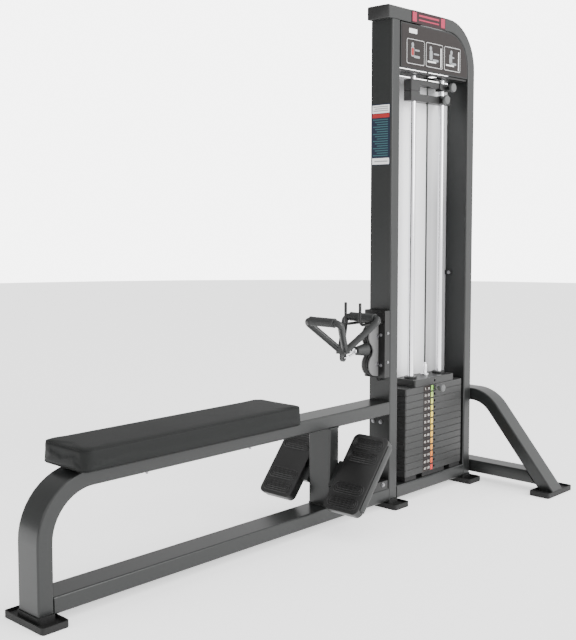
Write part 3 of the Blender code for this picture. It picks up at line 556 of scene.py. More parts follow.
BOARD_TOP = high("weight_plate_01").z
FINISHES = {
    "frame": lambda: powder_coat("frame_powder_coat", tuple(colours().frame)),
    "black": lambda: powder_coat("black_steel_paint", (0.006, 0.006, 0.006), 0.38, 0.0, 0.05),
    "handle": lambda: powder_coat("handle_paint", (0.012, 0.013, 0.013), 0.40, 0.0, 0.10),
    "cheek": lambda: powder_coat("cheek_paint", (0.13, 0.13, 0.13), 0.38),
    "chrome": lambda: bright_metal("chrome_plate", (0.82, 0.82, 0.84)),
    "zinc": lambda: bright_metal("zinc_bolt", (0.30, 0.30, 0.31), 0.34),
    "rubber": lambda: moulded("foot_rubber", (0.007, 0.007, 0.007), 0.62, 900.0, 0.25,
                              Specular_IOR_Level=0.3),
    "tread": lambda: moulded("tread_rubber", (0.0065, 0.0065, 0.0065), 0.42),
    "grip": lambda: moulded("grip_rubber", (0.012, 0.013, 0.013), 0.58, 1200.0, 0.4),
    "nylon": lambda: moulded("pulley_nylon", (0.007, 0.007, 0.007), 0.42, 700.0, 0.1),
    "cable": lambda: moulded("cable_jacket", (0.006, 0.006, 0.006), 0.35, 500.0, 0.1),
    "knob": lambda: moulded("knob_grey", (0.085, 0.087, 0.087), 0.36, 600.0, 0.1),
    "knob_black": lambda: moulded("knob_black", (0.008, 0.008, 0.008), 0.35, 600.0, 0.1),
    "cap": lambda: moulded("tube_cap", (0.008, 0.008, 0.008), 0.50),
    "seat": lambda: upholstery("seat_cover", tuple(colours().seat)),
    "piping": lambda: upholstery("seat_piping", shade(tuple(colours().seat), 0.8)),
    "plate": lambda: enamel("plate_enamel", tuple(colours().plates)),
    # the second colour is the grey of the guard's painted shade
    "guard": lambda: guard_finish("guard_sheet", (0.95, 0.95, 0.96), (0.34, 0.34, 0.35),
                                  low("rear_guard").x + 0.20, high("rear_guard").x - 0.10),
    "board": lambda: printed("board_brown", (0.010, 0.0065, 0.006)),
    "board_edge": lambda: printed("board_grey", (0.020, 0.020, 0.020), 0.6),
    "white_print": lambda: printed("print_white", (0.75, 0.75, 0.75)),
    "grey_print": lambda: printed("print_grey", (0.24, 0.25, 0.26)),
    "red_print": lambda: printed("print_red", (0.30, 0.02, 0.02)),
    "teal_print": lambda: printed("print_teal", (0.03, 0.09, 0.10)),
    "navy_print": lambda: printed("print_navy", (0.008, 0.014, 0.030)),
    "plaque": lambda: printed("plaque_maroon", (0.020, 0.004, 0.006)),
    "rose_print": lambda: printed("print_rose", (0.35, 0.02, 0.06)),
    "strip": lambda: printed("strip_brown", (0.012, 0.007, 0.006)),
    "digits": lambda: printed("strip_digits", (0.62, 0.60, 0.56)),
    "scale": lambda: load_scale("load_scale", BOARD_TOP, low("weight_plate_13").z),
    "addon": lambda: enamel("addon_enamel", (0.020, 0.020, 0.020)),
}


# --------------------------------------------------------------- frame pieces
def frame_tubes():
    """Painted tubes, with their small corner radii and one smooth bend each."""
    for node in ("bench_tube", "top_arch", "stabiliser_arch"):
        refined(node, paint("frame"), 0.0, 50.0)
    for node in ("lower_rail", "base_beam", "middle_post", "front_upright", "stabiliser_cross"):
        refined(node, paint("frame"), 0.0, 50.0)


def weld_bead(name, x, z, half_x, half_y):
    """Rippled bead round a tube's foot: radius r (1 + 0.18 sin(n t))."""
    outline = rounded(half_x, half_y, 0.006, 8)
    around = np.concatenate([outline, outline[:1]])
    step = np.linalg.norm(np.diff(around, axis=0), axis=1)
    length = np.concatenate([[0.0], np.cumsum(step)])
    s = np.linspace(0.0, length[-1], 260, endpoint=False)
    path = np.stack([LEG_FACE + x + np.interp(s, length, around[:, 0]),
                     np.interp(s, length, around[:, 1]), np.full_like(s, z)], -1)
    ripple = 0.0022 * (1 + 0.18 * np.sin(2 * math.pi * s / 0.0035))
    verts, faces = carried(path, ripple, 8, True)
    build_object(name, verts, faces, paint("frame"), ROOT, "frame_paint", (), 60.0)


def frame_details():
    """Weld beads, the beam's end cap and its bolts."""
    rail_top = high("lower_rail").z
    rail_low = high("bench_tube").z - 0.050
    weld_bead("weld_post_low", 1.215, rail_top + 0.0005, 0.0255, 0.0505)
    weld_bead("weld_post_high", 1.215, rail_low - 0.0005, 0.0255, 0.0505)
    end = low("top_arch").x
    zc = (high("top_arch").z * 2 - 0.050) / 2
    cap = plate_on((end, 0, zc), (0, 0, 1), (0, 1, 0), rounded(0.0245, 0.0495, 0.006), 0.0035, 0.0015)
    build_object("beam_end_cap", *cap, paint("cap"), ROOT, "black_steel")


def foot_pads():
    """Rubber pads, their rims and soles softened."""
    for place in ("bench", "front", "rear", "left", "right"):
        refined("foot_pad_" + place, paint("rubber"), 0.0006, 40.0)


# ----------------------------------------------------------------------- seat
def seat_cushion():
    """Seat swollen by cloth pressure from a slightly smaller firm block."""
    lo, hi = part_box("seat_pad")
    inset = 0.0025
    half_x, half_y = (hi.x - lo.x) / 2 - inset, (hi.y - lo.y) / 2 - inset
    cx = (hi.x + lo.x) / 2
    rows = ((0.012, lo.z + 0.002, 0.022), (0.003, lo.z + 0.002, 0.028), (0.0, lo.z + 0.006, 0.030),
            (0.0, hi.z - 0.010, 0.030), (0.0035, hi.z - 0.005, 0.028), (0.010, hi.z - 0.0035, 0.024))
    loops = []
    for shrink, z, radius in rows:
        outline = rounded(half_x - shrink, half_y - shrink, radius, 8)
        loops.append(np.column_stack([outline[:, 0] + cx, outline[:, 1], np.full(len(outline), z)]))
    verts, faces = skin(loops)
    obj = build_object("seat_cushion", verts, faces, paint("seat"), None)
    swell(obj, 0.005, sizes().seat_swell)
    smooth = obj.modifiers.new("smooth", "SUBSURF")
    smooth.levels = smooth.render_levels = 1
    mount(obj, paint("seat"), ROOT, ("seat_pad",), 180.0)
    return obj


def swell(obj, voxel, most):
    """Remeshes, blows up with cloth pressure and holds each point's travel."""
    scene = bpy.context.scene
    remesh = obj.modifiers.new("remesh", "REMESH")
    remesh.mode = "VOXEL"
    remesh.voxel_size = voxel
    bake(obj)
    start = np.zeros(len(obj.data.vertices) * 3)
    obj.data.vertices.foreach_get("co", start)
    start = start.reshape(-1, 3)
    floor_z = start[:, 2].min()
    group = obj.vertex_groups.new(name="board")
    held = np.nonzero(start[:, 2] < floor_z + 0.012)[0]
    group.add([int(i) for i in held], 1.0, "REPLACE")
    cloth = obj.modifiers.new("cloth", "CLOTH")
    cloth.settings.use_pressure = True
    cloth.settings.uniform_pressure_force = 4.0
    cloth.settings.effector_weights.gravity = 0.0
    cloth.settings.vertex_group_mass = "board"
    cloth.settings.quality = 4
    scene.frame_start, scene.frame_end = 1, 20
    cloth.point_cache.frame_start, cloth.point_cache.frame_end = 1, 20
    for number in range(1, 21):
        scene.frame_set(number)
    graph = bpy.context.evaluated_depsgraph_get()
    result = obj.evaluated_get(graph).to_mesh()
    end = np.zeros(len(start) * 3)
    result.vertices.foreach_get("co", end)
    obj.evaluated_get(graph).to_mesh_clear()
    move = end.reshape(-1, 3) - start
    size = np.linalg.norm(move, axis=1)[:, None]
    move *= np.minimum(1.0, most / np.maximum(size, 1e-9))
    obj.modifiers.clear()
    obj.vertex_groups.clear()
    scene.frame_set(1)
    final = start + move
    lo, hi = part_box("seat_pad")
    final[:, 2] = np.clip(final[:, 2], lo.z, hi.z + 0.004)
    obj.data.vertices.foreach_set("co", final.ravel())
    obj.data.update()


def bake(obj):
    """Applies an object's modifiers to its mesh."""
    bpy.context.view_layer.update()
    graph = bpy.context.evaluated_depsgraph_get()
    mesh = bpy.data.meshes.new_from_object(obj.evaluated_get(graph))
    obj.modifiers.clear()
    obj.data = mesh


def seat_trim():
    """Piping and hem laid on the cushion's surface, and the board below."""
    lo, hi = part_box("seat_pad")
    cx = (hi.x + lo.x) / 2
    half_x, half_y = (hi.x - lo.x) / 2, (hi.y - lo.y) / 2
    bpy.context.view_layer.update()
    cover = BVHTree.FromObject(bpy.data.objects["seat_cushion"], bpy.context.evaluated_depsgraph_get())
    for name, z, radius in (("seat_piping_top", hi.z - 0.0075, sizes().piping),
                            ("seat_hem", lo.z + 0.0075, 0.0013)):
        outline = spread(np.column_stack([rounded(half_x - 0.004, half_y - 0.004, 0.028, 14),
                                          np.zeros(4 * 15)]), 0.006)
        path = []
        for u, v, _ in outline:
            spine = np.clip(u, 0.080 - half_x, half_x - 0.080)
            away = Vector((u - spine, v, 0.0)).normalized()
            hit = cover.ray_cast(Vector((cx + spine, 0.0, z)) + away * 0.3, -away)[0]
            path.append(hit + away * radius * 0.1)
        verts, faces = carried(np.array(path), radius, 10, True)
        build_object(name, verts, faces, paint("piping"), ROOT, "seat_vinyl")
    outline = rounded(half_x - 0.014, half_y - 0.014, 0.020)
    board = plate_on((cx, 0, lo.z + 0.0002), (1, 0, 0), (0, 1, 0), outline, 0.006, 0.001)
    build_object("seat_board", *board, paint("cap"), ROOT, "black_steel")


def spread(path, gap):
    """Evenly spaced points along a closed path."""
    around = np.concatenate([path, path[:1]])
    length = np.concatenate([[0.0], np.cumsum(np.linalg.norm(np.diff(around, axis=0), axis=1))])
    s = np.linspace(0.0, length[-1], int(length[-1] / gap), endpoint=False)
    return np.stack([np.interp(s, length, around[:, k]) for k in range(3)], -1)


# ---------------------------------------------------------------- foot plates
FOOT_TILT = math.radians(51.2)
FOOT_UP = np.array([math.cos(FOOT_TILT), 0.0, math.sin(FOOT_TILT)])
FOOT_OUT = np.array([-math.sin(FOOT_TILT), 0.0, math.cos(FOOT_TILT)])
ACROSS = np.array([0.0, 1.0, 0.0])
FOOT_LENGTH = 0.295
FOOT_THICK = 0.014


def foot_plates():
    """Rubber treads with rounded ribs near both ends, on painted brackets."""
    for side, sign in (("left", 1), ("right", -1)):
        node = "foot_plate_" + side
        lo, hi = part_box(node)
        mid_y, half = (lo.y + hi.y) / 2, (hi.y - lo.y) / 2
        base = at(1.115, mid_y, 0.100)
        centre = base + FOOT_UP * FOOT_LENGTH / 2 - FOOT_OUT * FOOT_THICK
        body = plate_on(centre, FOOT_UP, ACROSS, rounded(FOOT_LENGTH / 2, half, 0.022, 8), FOOT_THICK, 0.0025)
        parts = [body]
        for first in (0.034, 0.034 + 0.052, FOOT_LENGTH - 0.034 - 0.052, FOOT_LENGTH - 0.034):
            for k in range(sizes().rib_count):
                grow = k * sizes().rib_pitch
                loop = rounded(0.0035 + grow, half - 0.012 - (sizes().rib_count - 1 - k) * sizes().rib_pitch,
                               0.0035 + grow, 8)
                path = base + FOOT_UP * (first + loop[:, :1]) + ACROSS * loop[:, 1:]
                parts.append(carried(path, sizes().rib_height, 8, True))
        verts, faces = join_parts(parts)
        build_object("tread_" + side, verts, faces, paint("tread"), ROOT, "foot_rubber", (node,), 40.0)
        refined("foot_bracket_" + side, paint("frame"), 0.0010, 40.0)
        edge = mid_y + sign * (half + 0.0002)
        spot = base + FOOT_UP * FOOT_LENGTH / 2 - FOOT_OUT * 0.020
        spot[1] = edge
        flange = plate_on(spot, FOOT_UP, FOOT_OUT if sign < 0 else -FOOT_OUT,
                          rounded(FOOT_LENGTH / 2 - 0.022, 0.013, 0.004), 0.0030, 0.0006)
        build_object("foot_flange_" + side, *flange, paint("frame"), ROOT, "frame_paint")


# --------------------------------------------------------------- pulley unit
def pulley_wheel(name, node, body):
    """Grooved wheel: a round cable groove, a hub and a recessed web."""
    lo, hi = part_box(node)
    centre = (lo + hi) / 2
    outer = (hi.z - lo.z) / 2
    half = (hi.y - lo.y) / 2
    turn = np.linspace(-0.42 * math.pi, 0.42 * math.pi, 11)
    groove = [(outer - 0.0042 - 0.0040 * math.cos(a), 0.0040 * math.sin(a)) for a in turn]
    profile = [(0.0062, -half), (0.0150, -half), (0.0165, -half + 0.0010), (0.0175, -half + 0.0035),
               (outer - 0.012, -half + 0.0035), (outer - 0.010, -half + 0.0008), (outer - 0.009, -half),
               (outer - 0.001, -half), (outer, -half + 0.001), (outer - 0.0005, -half + 0.002)]
    mirror = [(r, -y) for r, y in reversed(profile)]
    verts, faces = turned(profile + groove + mirror, centre, (0, 1, 0), 64, True)
    build_object(name, verts, faces, paint("nylon"), body, "pulley_nylon", (node,), 32.0)


def pulley_unit():
    """Block, cheeks and wheels on the front upright, with their bolts."""
    refined("pulley_mount", paint("black"), 0.0, 40.0)
    refined("pulley_cheeks", paint("cheek"), 0.0, 40.0)
    pulley_wheel("wheel_guide_upper", "guide_pulley_upper", "upper_guide_pulley")
    pulley_wheel("wheel_guide_lower", "guide_pulley_lower", "lower_guide_pulley")
    pulley_wheel("wheel_top_front", "top_pulley_front", "front_top_pulley")
    pulley_wheel("wheel_top_rear", "top_pulley_rear", "rear_top_pulley")
    refined("top_pulley_bracket", paint("black"), 0.0, 40.0)
    bolts = [bolt_head(at(BLOCK_FACE_X, y, z), (-1, 0, 0), 0.0048, 0.0038)
             for y in (-0.030, 0.030) for z in (0.545, 0.660)]
    bolts += [bolt_head(at(BLOCK_SIDE_X, -0.048, z), (0, -1, 0), 0.0042, 0.0032) for z in (0.557, 0.666)]
    verts, faces = join_parts(bolts)
    build_object("block_bolts", verts, faces, paint("zinc"), ROOT, "chrome")
    axles = [bolt_head(at(GUIDE_X, side * CHEEK_FACE, z), (0, side, 0), 0.0062, 0.0040)
             for side in (-1, 1) for z in GUIDE_HEIGHTS]
    verts, faces = join_parts(axles)
    build_object("axle_bolts", verts, faces, paint("zinc"), ROOT, "chrome")
    stop = turned([(0.0080, 0.0), (0.0095, 0.0015), (0.0095, 0.010), (0.0075, 0.0125)],
                  at(1.522, -0.007, 0.4968), (0, 0, -1), 32)
    build_object("block_stop", *stop, paint("rubber"), ROOT, "foot_rubber")


# --------------------------------------------------------------------- cables
CABLE_R = 0.0035
PULL_Z = 0.608


def cables():
    """Jacketed cable: the lift length, the fixed route and the pull length."""
    lo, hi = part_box("cable_lift")
    x = (lo.x + hi.x) / 2
    z = np.linspace(lo.z, hi.z + 0.002, 60)
    lift = build_object("cable_lift_length", *carried(np.stack([np.full(60, x), 0 * z, z], -1), CABLE_R, 16),
                        paint("cable"), None, "cable_jacket", ("cable_lift",), 60.0)
    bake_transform(lift)
    rear, front = middle("top_pulley_rear"), middle("top_pulley_front")
    upper = middle("guide_pulley_upper")
    over = high("cable_route").z - CABLE_R - rear.z
    under = upper.z - PULL_Z
    quarter = np.linspace(0.0, math.pi / 2, 20)
    flat = np.zeros_like(quarter)
    parts = [np.stack([rear.x + over * np.cos(quarter), flat, rear.z + over * np.sin(quarter)], -1),
             np.stack([front.x - over * np.sin(quarter), flat, front.z + over * np.cos(quarter)], -1),
             np.stack([upper.x + under * np.cos(quarter), flat, upper.z - under * np.sin(quarter)], -1)]
    build_object("cable_route_length", *carried(np.concatenate(parts), CABLE_R, 16),
                 paint("cable"), ROOT, "cable_jacket", ("cable_route",), 60.0)
    end, leave = low("cable_pull").x, low("cable_pull").x + 0.009
    x = np.concatenate([np.linspace(upper.x, leave, 12), np.linspace(leave - 0.0002, end - 0.003, 50)])
    pull = build_object("cable_pull_length", *carried(np.stack([x, 0 * x, 0 * x + PULL_Z], -1), CABLE_R, 16),
                        paint("cable"), None, "cable_jacket", ("cable_pull",), 60.0)
    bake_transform(pull)


# --------------------------------------------------------------------- handle
def handle():
    """V handle: two bent bars on a block and lug, sleeved grips, hook, stop."""
    grip_z = middle("grip_user").z
    parts = []
    for sign, node in ((-1, "grip_user"), (1, "grip_tower")):
        gx = middle(node).x
        start = at(APEX_X + sign * 0.004, 0, APEX_Z)
        corners = [start + ACROSS * 0.0128, np.array([gx, GRIP_REACH, grip_z]),
                   np.array([gx, -GRIP_REACH, grip_z]), start - ACROSS * 0.0128]
        parts.append(carried(bent(corners, 0.016, 12), BAR_R, 28))
        grip_sleeve(node, gx, grip_z)
    parts.append(plate_on(at(APEX_X, 0, APEX_Z - 0.013), (1, 0, 0), (0, 1, 0),
                          rounded(0.018, 0.0205, 0.005), 0.027, 0.003))
    verts, faces = join_parts(parts)
    build_object("handle_bars", verts, faces, paint("handle"), HANDLE, "black_steel", ("handle_frame",), 40.0)
    outer = [(0.0145, APEX_Z - 0.008), (0.0145, LUG_Z)]
    turn = np.linspace(0, -math.pi, 20)
    rim = np.stack([0.0145 * np.cos(turn), LUG_Z + 0.0145 * np.sin(turn)], -1)
    outline = np.concatenate([[outer[0]], rim, [(-0.0145, APEX_Z - 0.008)]])
    ring_plate("handle_lug", outline, (0.0, LUG_Z), 0.0066, APEX_X, 0.0043, "handle", HANDLE, "black_steel")
    refined("cable_eye", paint("chrome"), 0.0008, 40.0)
    link()
    lo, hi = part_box("cable_stop")
    z = (lo.z + hi.z) / 2
    profile = [(0.0110, 0.0), (0.0150, 0.0010), (0.0162, 0.0035), (0.0166, 0.0105), (0.0175, 0.0150),
               (0.0215, 0.0400), (0.0233, 0.0520), (0.0236, 0.0560), (0.0228, 0.0585), (0.0150, 0.0625),
               (0.0095, 0.0672)]
    build_object("stop_cone", *turned(profile, (lo.x, 0, z), (1, 0, 0), 56), paint("grip"), HANDLE,
                 "foot_rubber", ("cable_stop",), 40.0)
    ferrule = turned([(0.0045, -0.0005), (0.0075, 0.0), (0.0082, 0.0010), (0.0082, 0.0080), (0.0070, 0.0100)],
                     (low("cable_stop").x - 0.0085, 0, z), (1, 0, 0), 40)
    build_object("cable_ferrule", *ferrule, paint("chrome"), HANDLE, "chrome")


def ring_plate(name, outline, hole_at, hole_r, x, half_y, finish, body, slot):
    """Upright plate with one round hole, its rims matched point for point."""
    count = 64
    angle = np.linspace(0, 2 * math.pi, count, endpoint=False)
    centre = np.asarray(hole_at)
    hole = centre + hole_r * np.stack([np.cos(angle), np.sin(angle)], -1)
    around = np.concatenate([outline, outline[:1]]) - centre
    length = np.concatenate([[0], np.cumsum(np.linalg.norm(np.diff(around, axis=0), axis=1))])
    s = np.linspace(0, length[-1], 2000)
    fine = np.stack([np.interp(s, length, around[:, k]) for k in range(2)], -1)
    fine_bearing = np.arctan2(fine[:, 1], fine[:, 0])
    pick = np.abs((fine_bearing[None, :] - angle[:, None] + math.pi) % (2 * math.pi) - math.pi).argmin(1)
    rim = fine[pick] + centre
    loops = []
    for ring, y in ((hole, -half_y), (rim, -half_y), (rim, half_y), (hole, half_y)):
        loops.append(np.column_stack([LEG_FACE + x + ring[:, 0], np.full(count, y), ring[:, 1]]))
    build_object(name, *skin(loops, True), paint(finish), body, slot)


def grip_sleeve(node, x, z):
    """Rubber sleeve with a rolled end and shallow finger grooves."""
    half = (high(node).y - low(node).y) / 2
    y = np.linspace(-half + 0.006, half - 0.006, 90)
    r = 0.0163 + 0.0003 * np.cos(2 * math.pi * y / 0.0045)
    body = list(zip(r, y))
    profile = [(0.0126, -half), (0.0155, -half), (0.0170, -half + 0.0015), (0.0170, -half + 0.0045)]
    mirror = [(a, -b) for a, b in reversed(profile)]
    verts, faces = turned(profile + body + mirror, (x, 0, z), (0, 1, 0), 40, True)
    build_object(node + "_sleeve", verts, faces, paint("grip"), HANDLE, "foot_rubber", (node,), 50.0)


def link():
    """Snap link: a long ring x = a|cos|^0.8, y = b|sin|^0.7, with a gate."""
    top = at(EYE_X, 0, PULL_Z - 0.0022)
    foot = at(APEX_X - 0.0005, 0, LUG_Z)
    along = (top - foot) / np.linalg.norm(top - foot)
    half = np.linalg.norm(top - foot) / 2
    turn = np.linspace(0, 2 * math.pi, 96, endpoint=False)
    c, s = np.cos(turn), np.sin(turn)
    x = half * np.sign(c) * np.abs(c) ** 0.8
    y = 0.0140 * np.sign(s) * np.abs(s) ** 0.7
    path = (top + foot) / 2 + x[:, None] * along + y[:, None] * ACROSS
    parts = [carried(path, 0.0027, 14, True)]
    middle_at = (top + foot) / 2 - ACROSS * 0.0140
    parts.append(turned([(0.0028, -0.012), (0.0042, -0.0112), (0.0042, 0.0112), (0.0028, 0.012)],
                        middle_at, along, 24))
    verts, faces = join_parts(parts)
    build_object("snap_link", verts, faces, paint("chrome"), HANDLE, "chrome", ("snap_hook",), 60.0)


# -------------------------------------------------------------- weight stack
def guide_rods():
    """Polished rods with domed tops and collars at the foot."""
    for side in ("front", "rear"):
        lo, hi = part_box("guide_rod_" + side)
        c = (lo + hi) / 2
        r = (hi.x - lo.x) / 2
        profile = [(r - 0.001, lo.z), (r, lo.z + 0.001), (r, hi.z - 0.002), (r - 0.002, hi.z)]
        build_object("rod_" + side, *turned(profile, (c.x, 0, 0), (0, 0, 1), 64), paint("chrome"),
                     ROOT, "chrome", ("guide_rod_" + side,), 40.0)
        foot = ROD_FOOT_Z
        collar = [(r + SKIN, foot), (0.0175, foot), (0.0180, foot + 0.0009), (0.0180, foot + 0.0099),
                  (0.0172, foot + 0.0109), (r + SKIN, foot + 0.0109)]
        build_object("rod_collar_" + side, *turned(collar, (c.x, 0, 0), (0, 0, 1), 48, True), paint("chrome"),
                     ROOT, "chrome")
        head = high("head_plate").z
        bush = [(r + 0.0015, head + SKIN), (0.0240, head + SKIN), (0.0250, head + 0.0012),
                (0.0250, head + 0.0075), (0.0235, head + 0.0090), (0.0185, head + 0.0095),
                (r + 0.0015, head + 0.0095)]
        build_object("head_bush_" + side, *turned(bush, (c.x, 0, 0), (0, 0, 1), 48, True),
                     paint("knob_black"), LIFT, "knob_plastic")
    refined("rod_bracket", paint("black"), 0.0010, 40.0)
    refined("stack_bumper", paint("rubber"), 0.0015, 40.0)


def weight_stack():
    """Enamelled plates with eased edges, the head plate, selector and pin."""
    for number in range(1, 14):
        refined("weight_plate_%02d" % number, paint("plate"), 0.0012, 40.0)
    refined("head_plate", paint("plate"), 0.0012, 40.0)
    selector()
    lo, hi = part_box("selector_pin")
    c = (lo + hi) / 2
    profile = [(0.0030, 0.0225), (0.0044, 0.0255), (0.0044, 0.0508), (0.0085, 0.0508), (0.0095, 0.0520),
               (0.0095, 0.0620), (0.0065, 0.0650), (0.0065, 0.0730), (0.0130, 0.0760), (0.0150, 0.0785),
               (0.0155, 0.0840), (0.0148, 0.0895), (0.0120, 0.0925), (0.0060, 0.0935)]
    build_object("pin_knob", *turned(profile, (c.x, 0, c.z), (0, -1, 0), 48), paint("knob"), "pin",
                 "knob_plastic", ("selector_pin",), 40.0)


def selector():
    """Selector rod with its nut, the cable's swaged end and a lock ring."""
    lo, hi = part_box("selector_rod")
    head = high("head_plate").z
    c = (lo + hi) / 2
    profile = [(0.0070, lo.z), (0.0095, lo.z + 0.004), (0.0095, head + 0.0006), (0.0165, head + 0.0006),
               (0.0165, head + 0.0095), (0.0150, head + 0.0110), (0.0096, head + 0.0115),
               (0.0096, head + 0.0450), (0.0085, head + 0.0475), (0.0058, head + 0.0490),
               (0.0058, hi.z - 0.002), (0.0048, hi.z)]
    build_object("selector_stem", *turned(profile, (c.x, 0, 0), (0, 0, 1), 48), paint("chrome"), LIFT,
                 "chrome", ("selector_rod",), 40.0)


def addon_weights():
    """Add-on weights parked on the rods, their housings, bushes and knobs."""
    for level, body in (("upper", ROOT), ("lower", "lower_addon")):
        node = "addon_weight_" + level
        refined(node, paint("addon"), 0.0012, 40.0)
        lo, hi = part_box(node)
        wide = 0.074
        top = hi.z if level == "upper" else lo.z + 0.0335
        base = lo.z + (0.0155 if level == "upper" else 0.001)
        cover = plate_on(((hi.x - wide / 2 - 0.001), lo.y - 0.0002, (top + base) / 2), (1, 0, 0), (0, 0, 1),
                         rounded(wide / 2, (top - base) / 2 - 0.001, 0.004), 0.004, 0.0010)
        build_object("addon_cover_" + level, *cover, paint("black"), body, "black_steel")
        knob_node = "addon_knob_" + level
        klo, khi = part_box(knob_node)
        c = (klo + khi) / 2
        near = khi.y
        stem = [(0.0078, 0.0), (0.0078, 0.0150), (0.0100, 0.0165), (0.0100, 0.0172)]
        build_object("knob_stem_" + level, *turned(stem, (c.x, near, c.z), (0, -1, 0), 40),
                     paint("knob_black"), knob_body(level), "knob_plastic")
        disc = [(0.0080, 0.0168), (0.0170, 0.0172), (0.0183, 0.0185), (0.0185, 0.0220), (0.0182, 0.0260),
                (0.0165, 0.0292), (0.0080, 0.0300)]
        build_object("knob_disc_" + level, *turned(disc, (c.x, near, c.z), (0, -1, 0), 48), paint("knob"),
                     knob_body(level), "knob_plastic", (knob_node,))


def knob_body(level):
    """The body that an add-on weight's knob slides with."""
    return level + "_addon_knob"


# --------------------------------------------------------------------- prints
def film(name, rows, plane_y, finish, body=ROOT, lift=0.0004, slot="board"):
    """Thin printed shapes facing -Y; each row is an outline in X and Z."""
    parts = [plate_on((0, plane_y, 0), (1, 0, 0), (0, 0, 1), outline, lift) for outline in rows]
    verts, faces = join_parts(parts)
    build_object(name, verts, faces, paint(finish), body, slot)


def placard():
    """Instruction board: grey edge, brown field and three picture panels."""
    refined("placard", paint("board_edge"), 0.0010, 40.0)
    lo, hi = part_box("placard")
    y = lo.y
    edge = 0.006
    x0, x1, z0, z1 = lo.x + edge, hi.x - edge, lo.z + edge, hi.z - edge
    r = 0.132 - edge
    turn = np.linspace(0, math.pi / 2, 24)
    outline = np.concatenate([[(x0, z1), (x0, z0), (x1, z0)],
                              np.stack([x1 - r + r * np.cos(turn), z1 - r + r * np.sin(turn)], -1)])
    film("board_field", [outline], y, "board", lift=0.0006)
    y -= 0.0006
    wide = 0.112
    frames, insides, figures, heads = [], [], [], []
    for k in range(3):
        a = x0 + 0.030 + k * (wide + 0.011)
        top = z0 + 0.106
        frames.append(bar(a, a + wide, z0 + 0.014, top, 0.008, 5))
        insides.append(bar(a + 0.0016, a + wide - 0.0016, z0 + 0.0156, top - 0.0016, 0.0066, 5))
        figures.append((a + wide / 2, z0 + 0.0156, top - 0.003))
    film("board_frames", frames, y, "white_print")
    film("board_insides", insides, y - 0.0004, "board", lift=0.0003)
    seats, limbs = [], []
    for k, (cx, base, top) in enumerate(figures):
        if k:
            seats.append(bar(cx - 0.045, cx + 0.010, base + 0.016, base + 0.022, 0.002, 3))
            seats.append(bar(cx + 0.040, cx + 0.046, base + 0.004, top - 0.010, 0.002, 3))
        lean = (0.0, -0.006, 0.012)[k]
        heads.append(np.array([cx - 0.020 + lean, base + 0.070]) + rounded(0.0075, 0.0085, 0.0075, 8))
        limbs.append(np.array([cx - 0.020 + lean * 0.6, base + 0.044]) + rounded(0.0095, 0.0185, 0.006, 5))
        limbs.append(bar(cx - 0.012, cx + 0.026, base + 0.022, base + 0.031, 0.004, 4))
        limbs.append(bar(cx - 0.006, cx + 0.024 - lean, base + 0.048, base + 0.054, 0.0028, 4))
    film("board_seats", seats, y - 0.0007, "white_print", lift=0.0003)
    film("board_figures", heads + limbs, y - 0.0007, "grey_print", lift=0.0003)
    torso_x, torso_z = figures[0][0] - 0.020, figures[0][1] + 0.044
    film("board_muscle", [np.array([torso_x, torso_z]) + rounded(0.0070, 0.0140, 0.005, 5)],
         y - 0.0010, "red_print", lift=0.0003)
    film("board_heading", [bar(x0 + 0.044, x0 + 0.094, z1 - 0.029, z1 - 0.012, 0.002)], y, "white_print")


def plaque():
    """Narrow plaque on the top beam with plain stripes."""
    top, left = high("top_arch").z, 1.653
    y = low("top_arch").y - 0.0002
    x0, x1, z0, z1 = LEG_FACE + left, LEG_FACE + 1.873, top - 0.049, top - 0.002
    film("beam_plaque", [bar(x0, x1, z0, z1, 0.004, 5)], y, "plaque", lift=0.0012)
    y -= 0.0012
    film("plaque_ends", [bar(x0 + 0.004, x0 + 0.030, z0 + 0.006, z1 - 0.006, 0.002, 4),
                         bar(x1 - 0.030, x1 - 0.004, z0 + 0.006, z1 - 0.006, 0.002, 4)], y, "rose_print")
    film("plaque_stripes", [bar(x0 + 0.044, x1 - 0.044, z0 + 0.013, z0 + 0.018, 0.001),
                            bar(x0 + 0.044, x1 - 0.044, z1 - 0.019, z1 - 0.012, 0.001)], y, "rose_print")


def upright_label():
    """Notice on the front upright: plain bars in a navy border."""
    x = low("front_upright").x - 0.0002
    y0, y1, z0, z1 = -0.042, 0.043, 1.293, 1.519

    def face(name, rows, finish, rise):
        parts = [plate_on((x - rise, 0, 0), (0, -1, 0), (0, 0, 1), outline * [-1, 1], 0.0004)
                 for outline in rows]
        verts, faces = join_parts(parts)
        build_object(name, verts, faces, paint(finish), ROOT, "board")

    face("label_back", [bar(y0, y1, z0, z1, 0.003, 4)], "navy_print", 0.0)
    face("label_head", [bar(y0 + 0.003, y1 - 0.003, z1 - 0.034, z1 - 0.004, 0.001)], "white_print", 0.0003)
    face("label_foot", [bar(y0 + 0.003, y1 - 0.003, z0 + 0.003, z0 + 0.026, 0.001)], "white_print", 0.0003)
    face("label_band", [bar(y0 + 0.003, y1 - 0.003, z1 - 0.051, z1 - 0.036, 0.001)], "red_print", 0.0003)
    marks = [bar(y0 + 0.008, y1 - 0.008 - 0.006 * (i % 2), z1 - 0.012 - 0.0075 * i, z1 - 0.0085 - 0.0075 * i)
             for i in range(3)]
    marks.append(bar(y0 + 0.010, y1 - 0.014, z0 + 0.012, z0 + 0.016))
    face("label_marks", marks, "grey_print", 0.0006)
    lines = [bar(y0 + 0.009, y1 - 0.006 - 0.009 * (i % 3), z1 - 0.060 - 0.0088 * i, z1 - 0.0562 - 0.0088 * i)
             for i in range(16)]
    face("label_lines", lines, "teal_print", 0.0003)


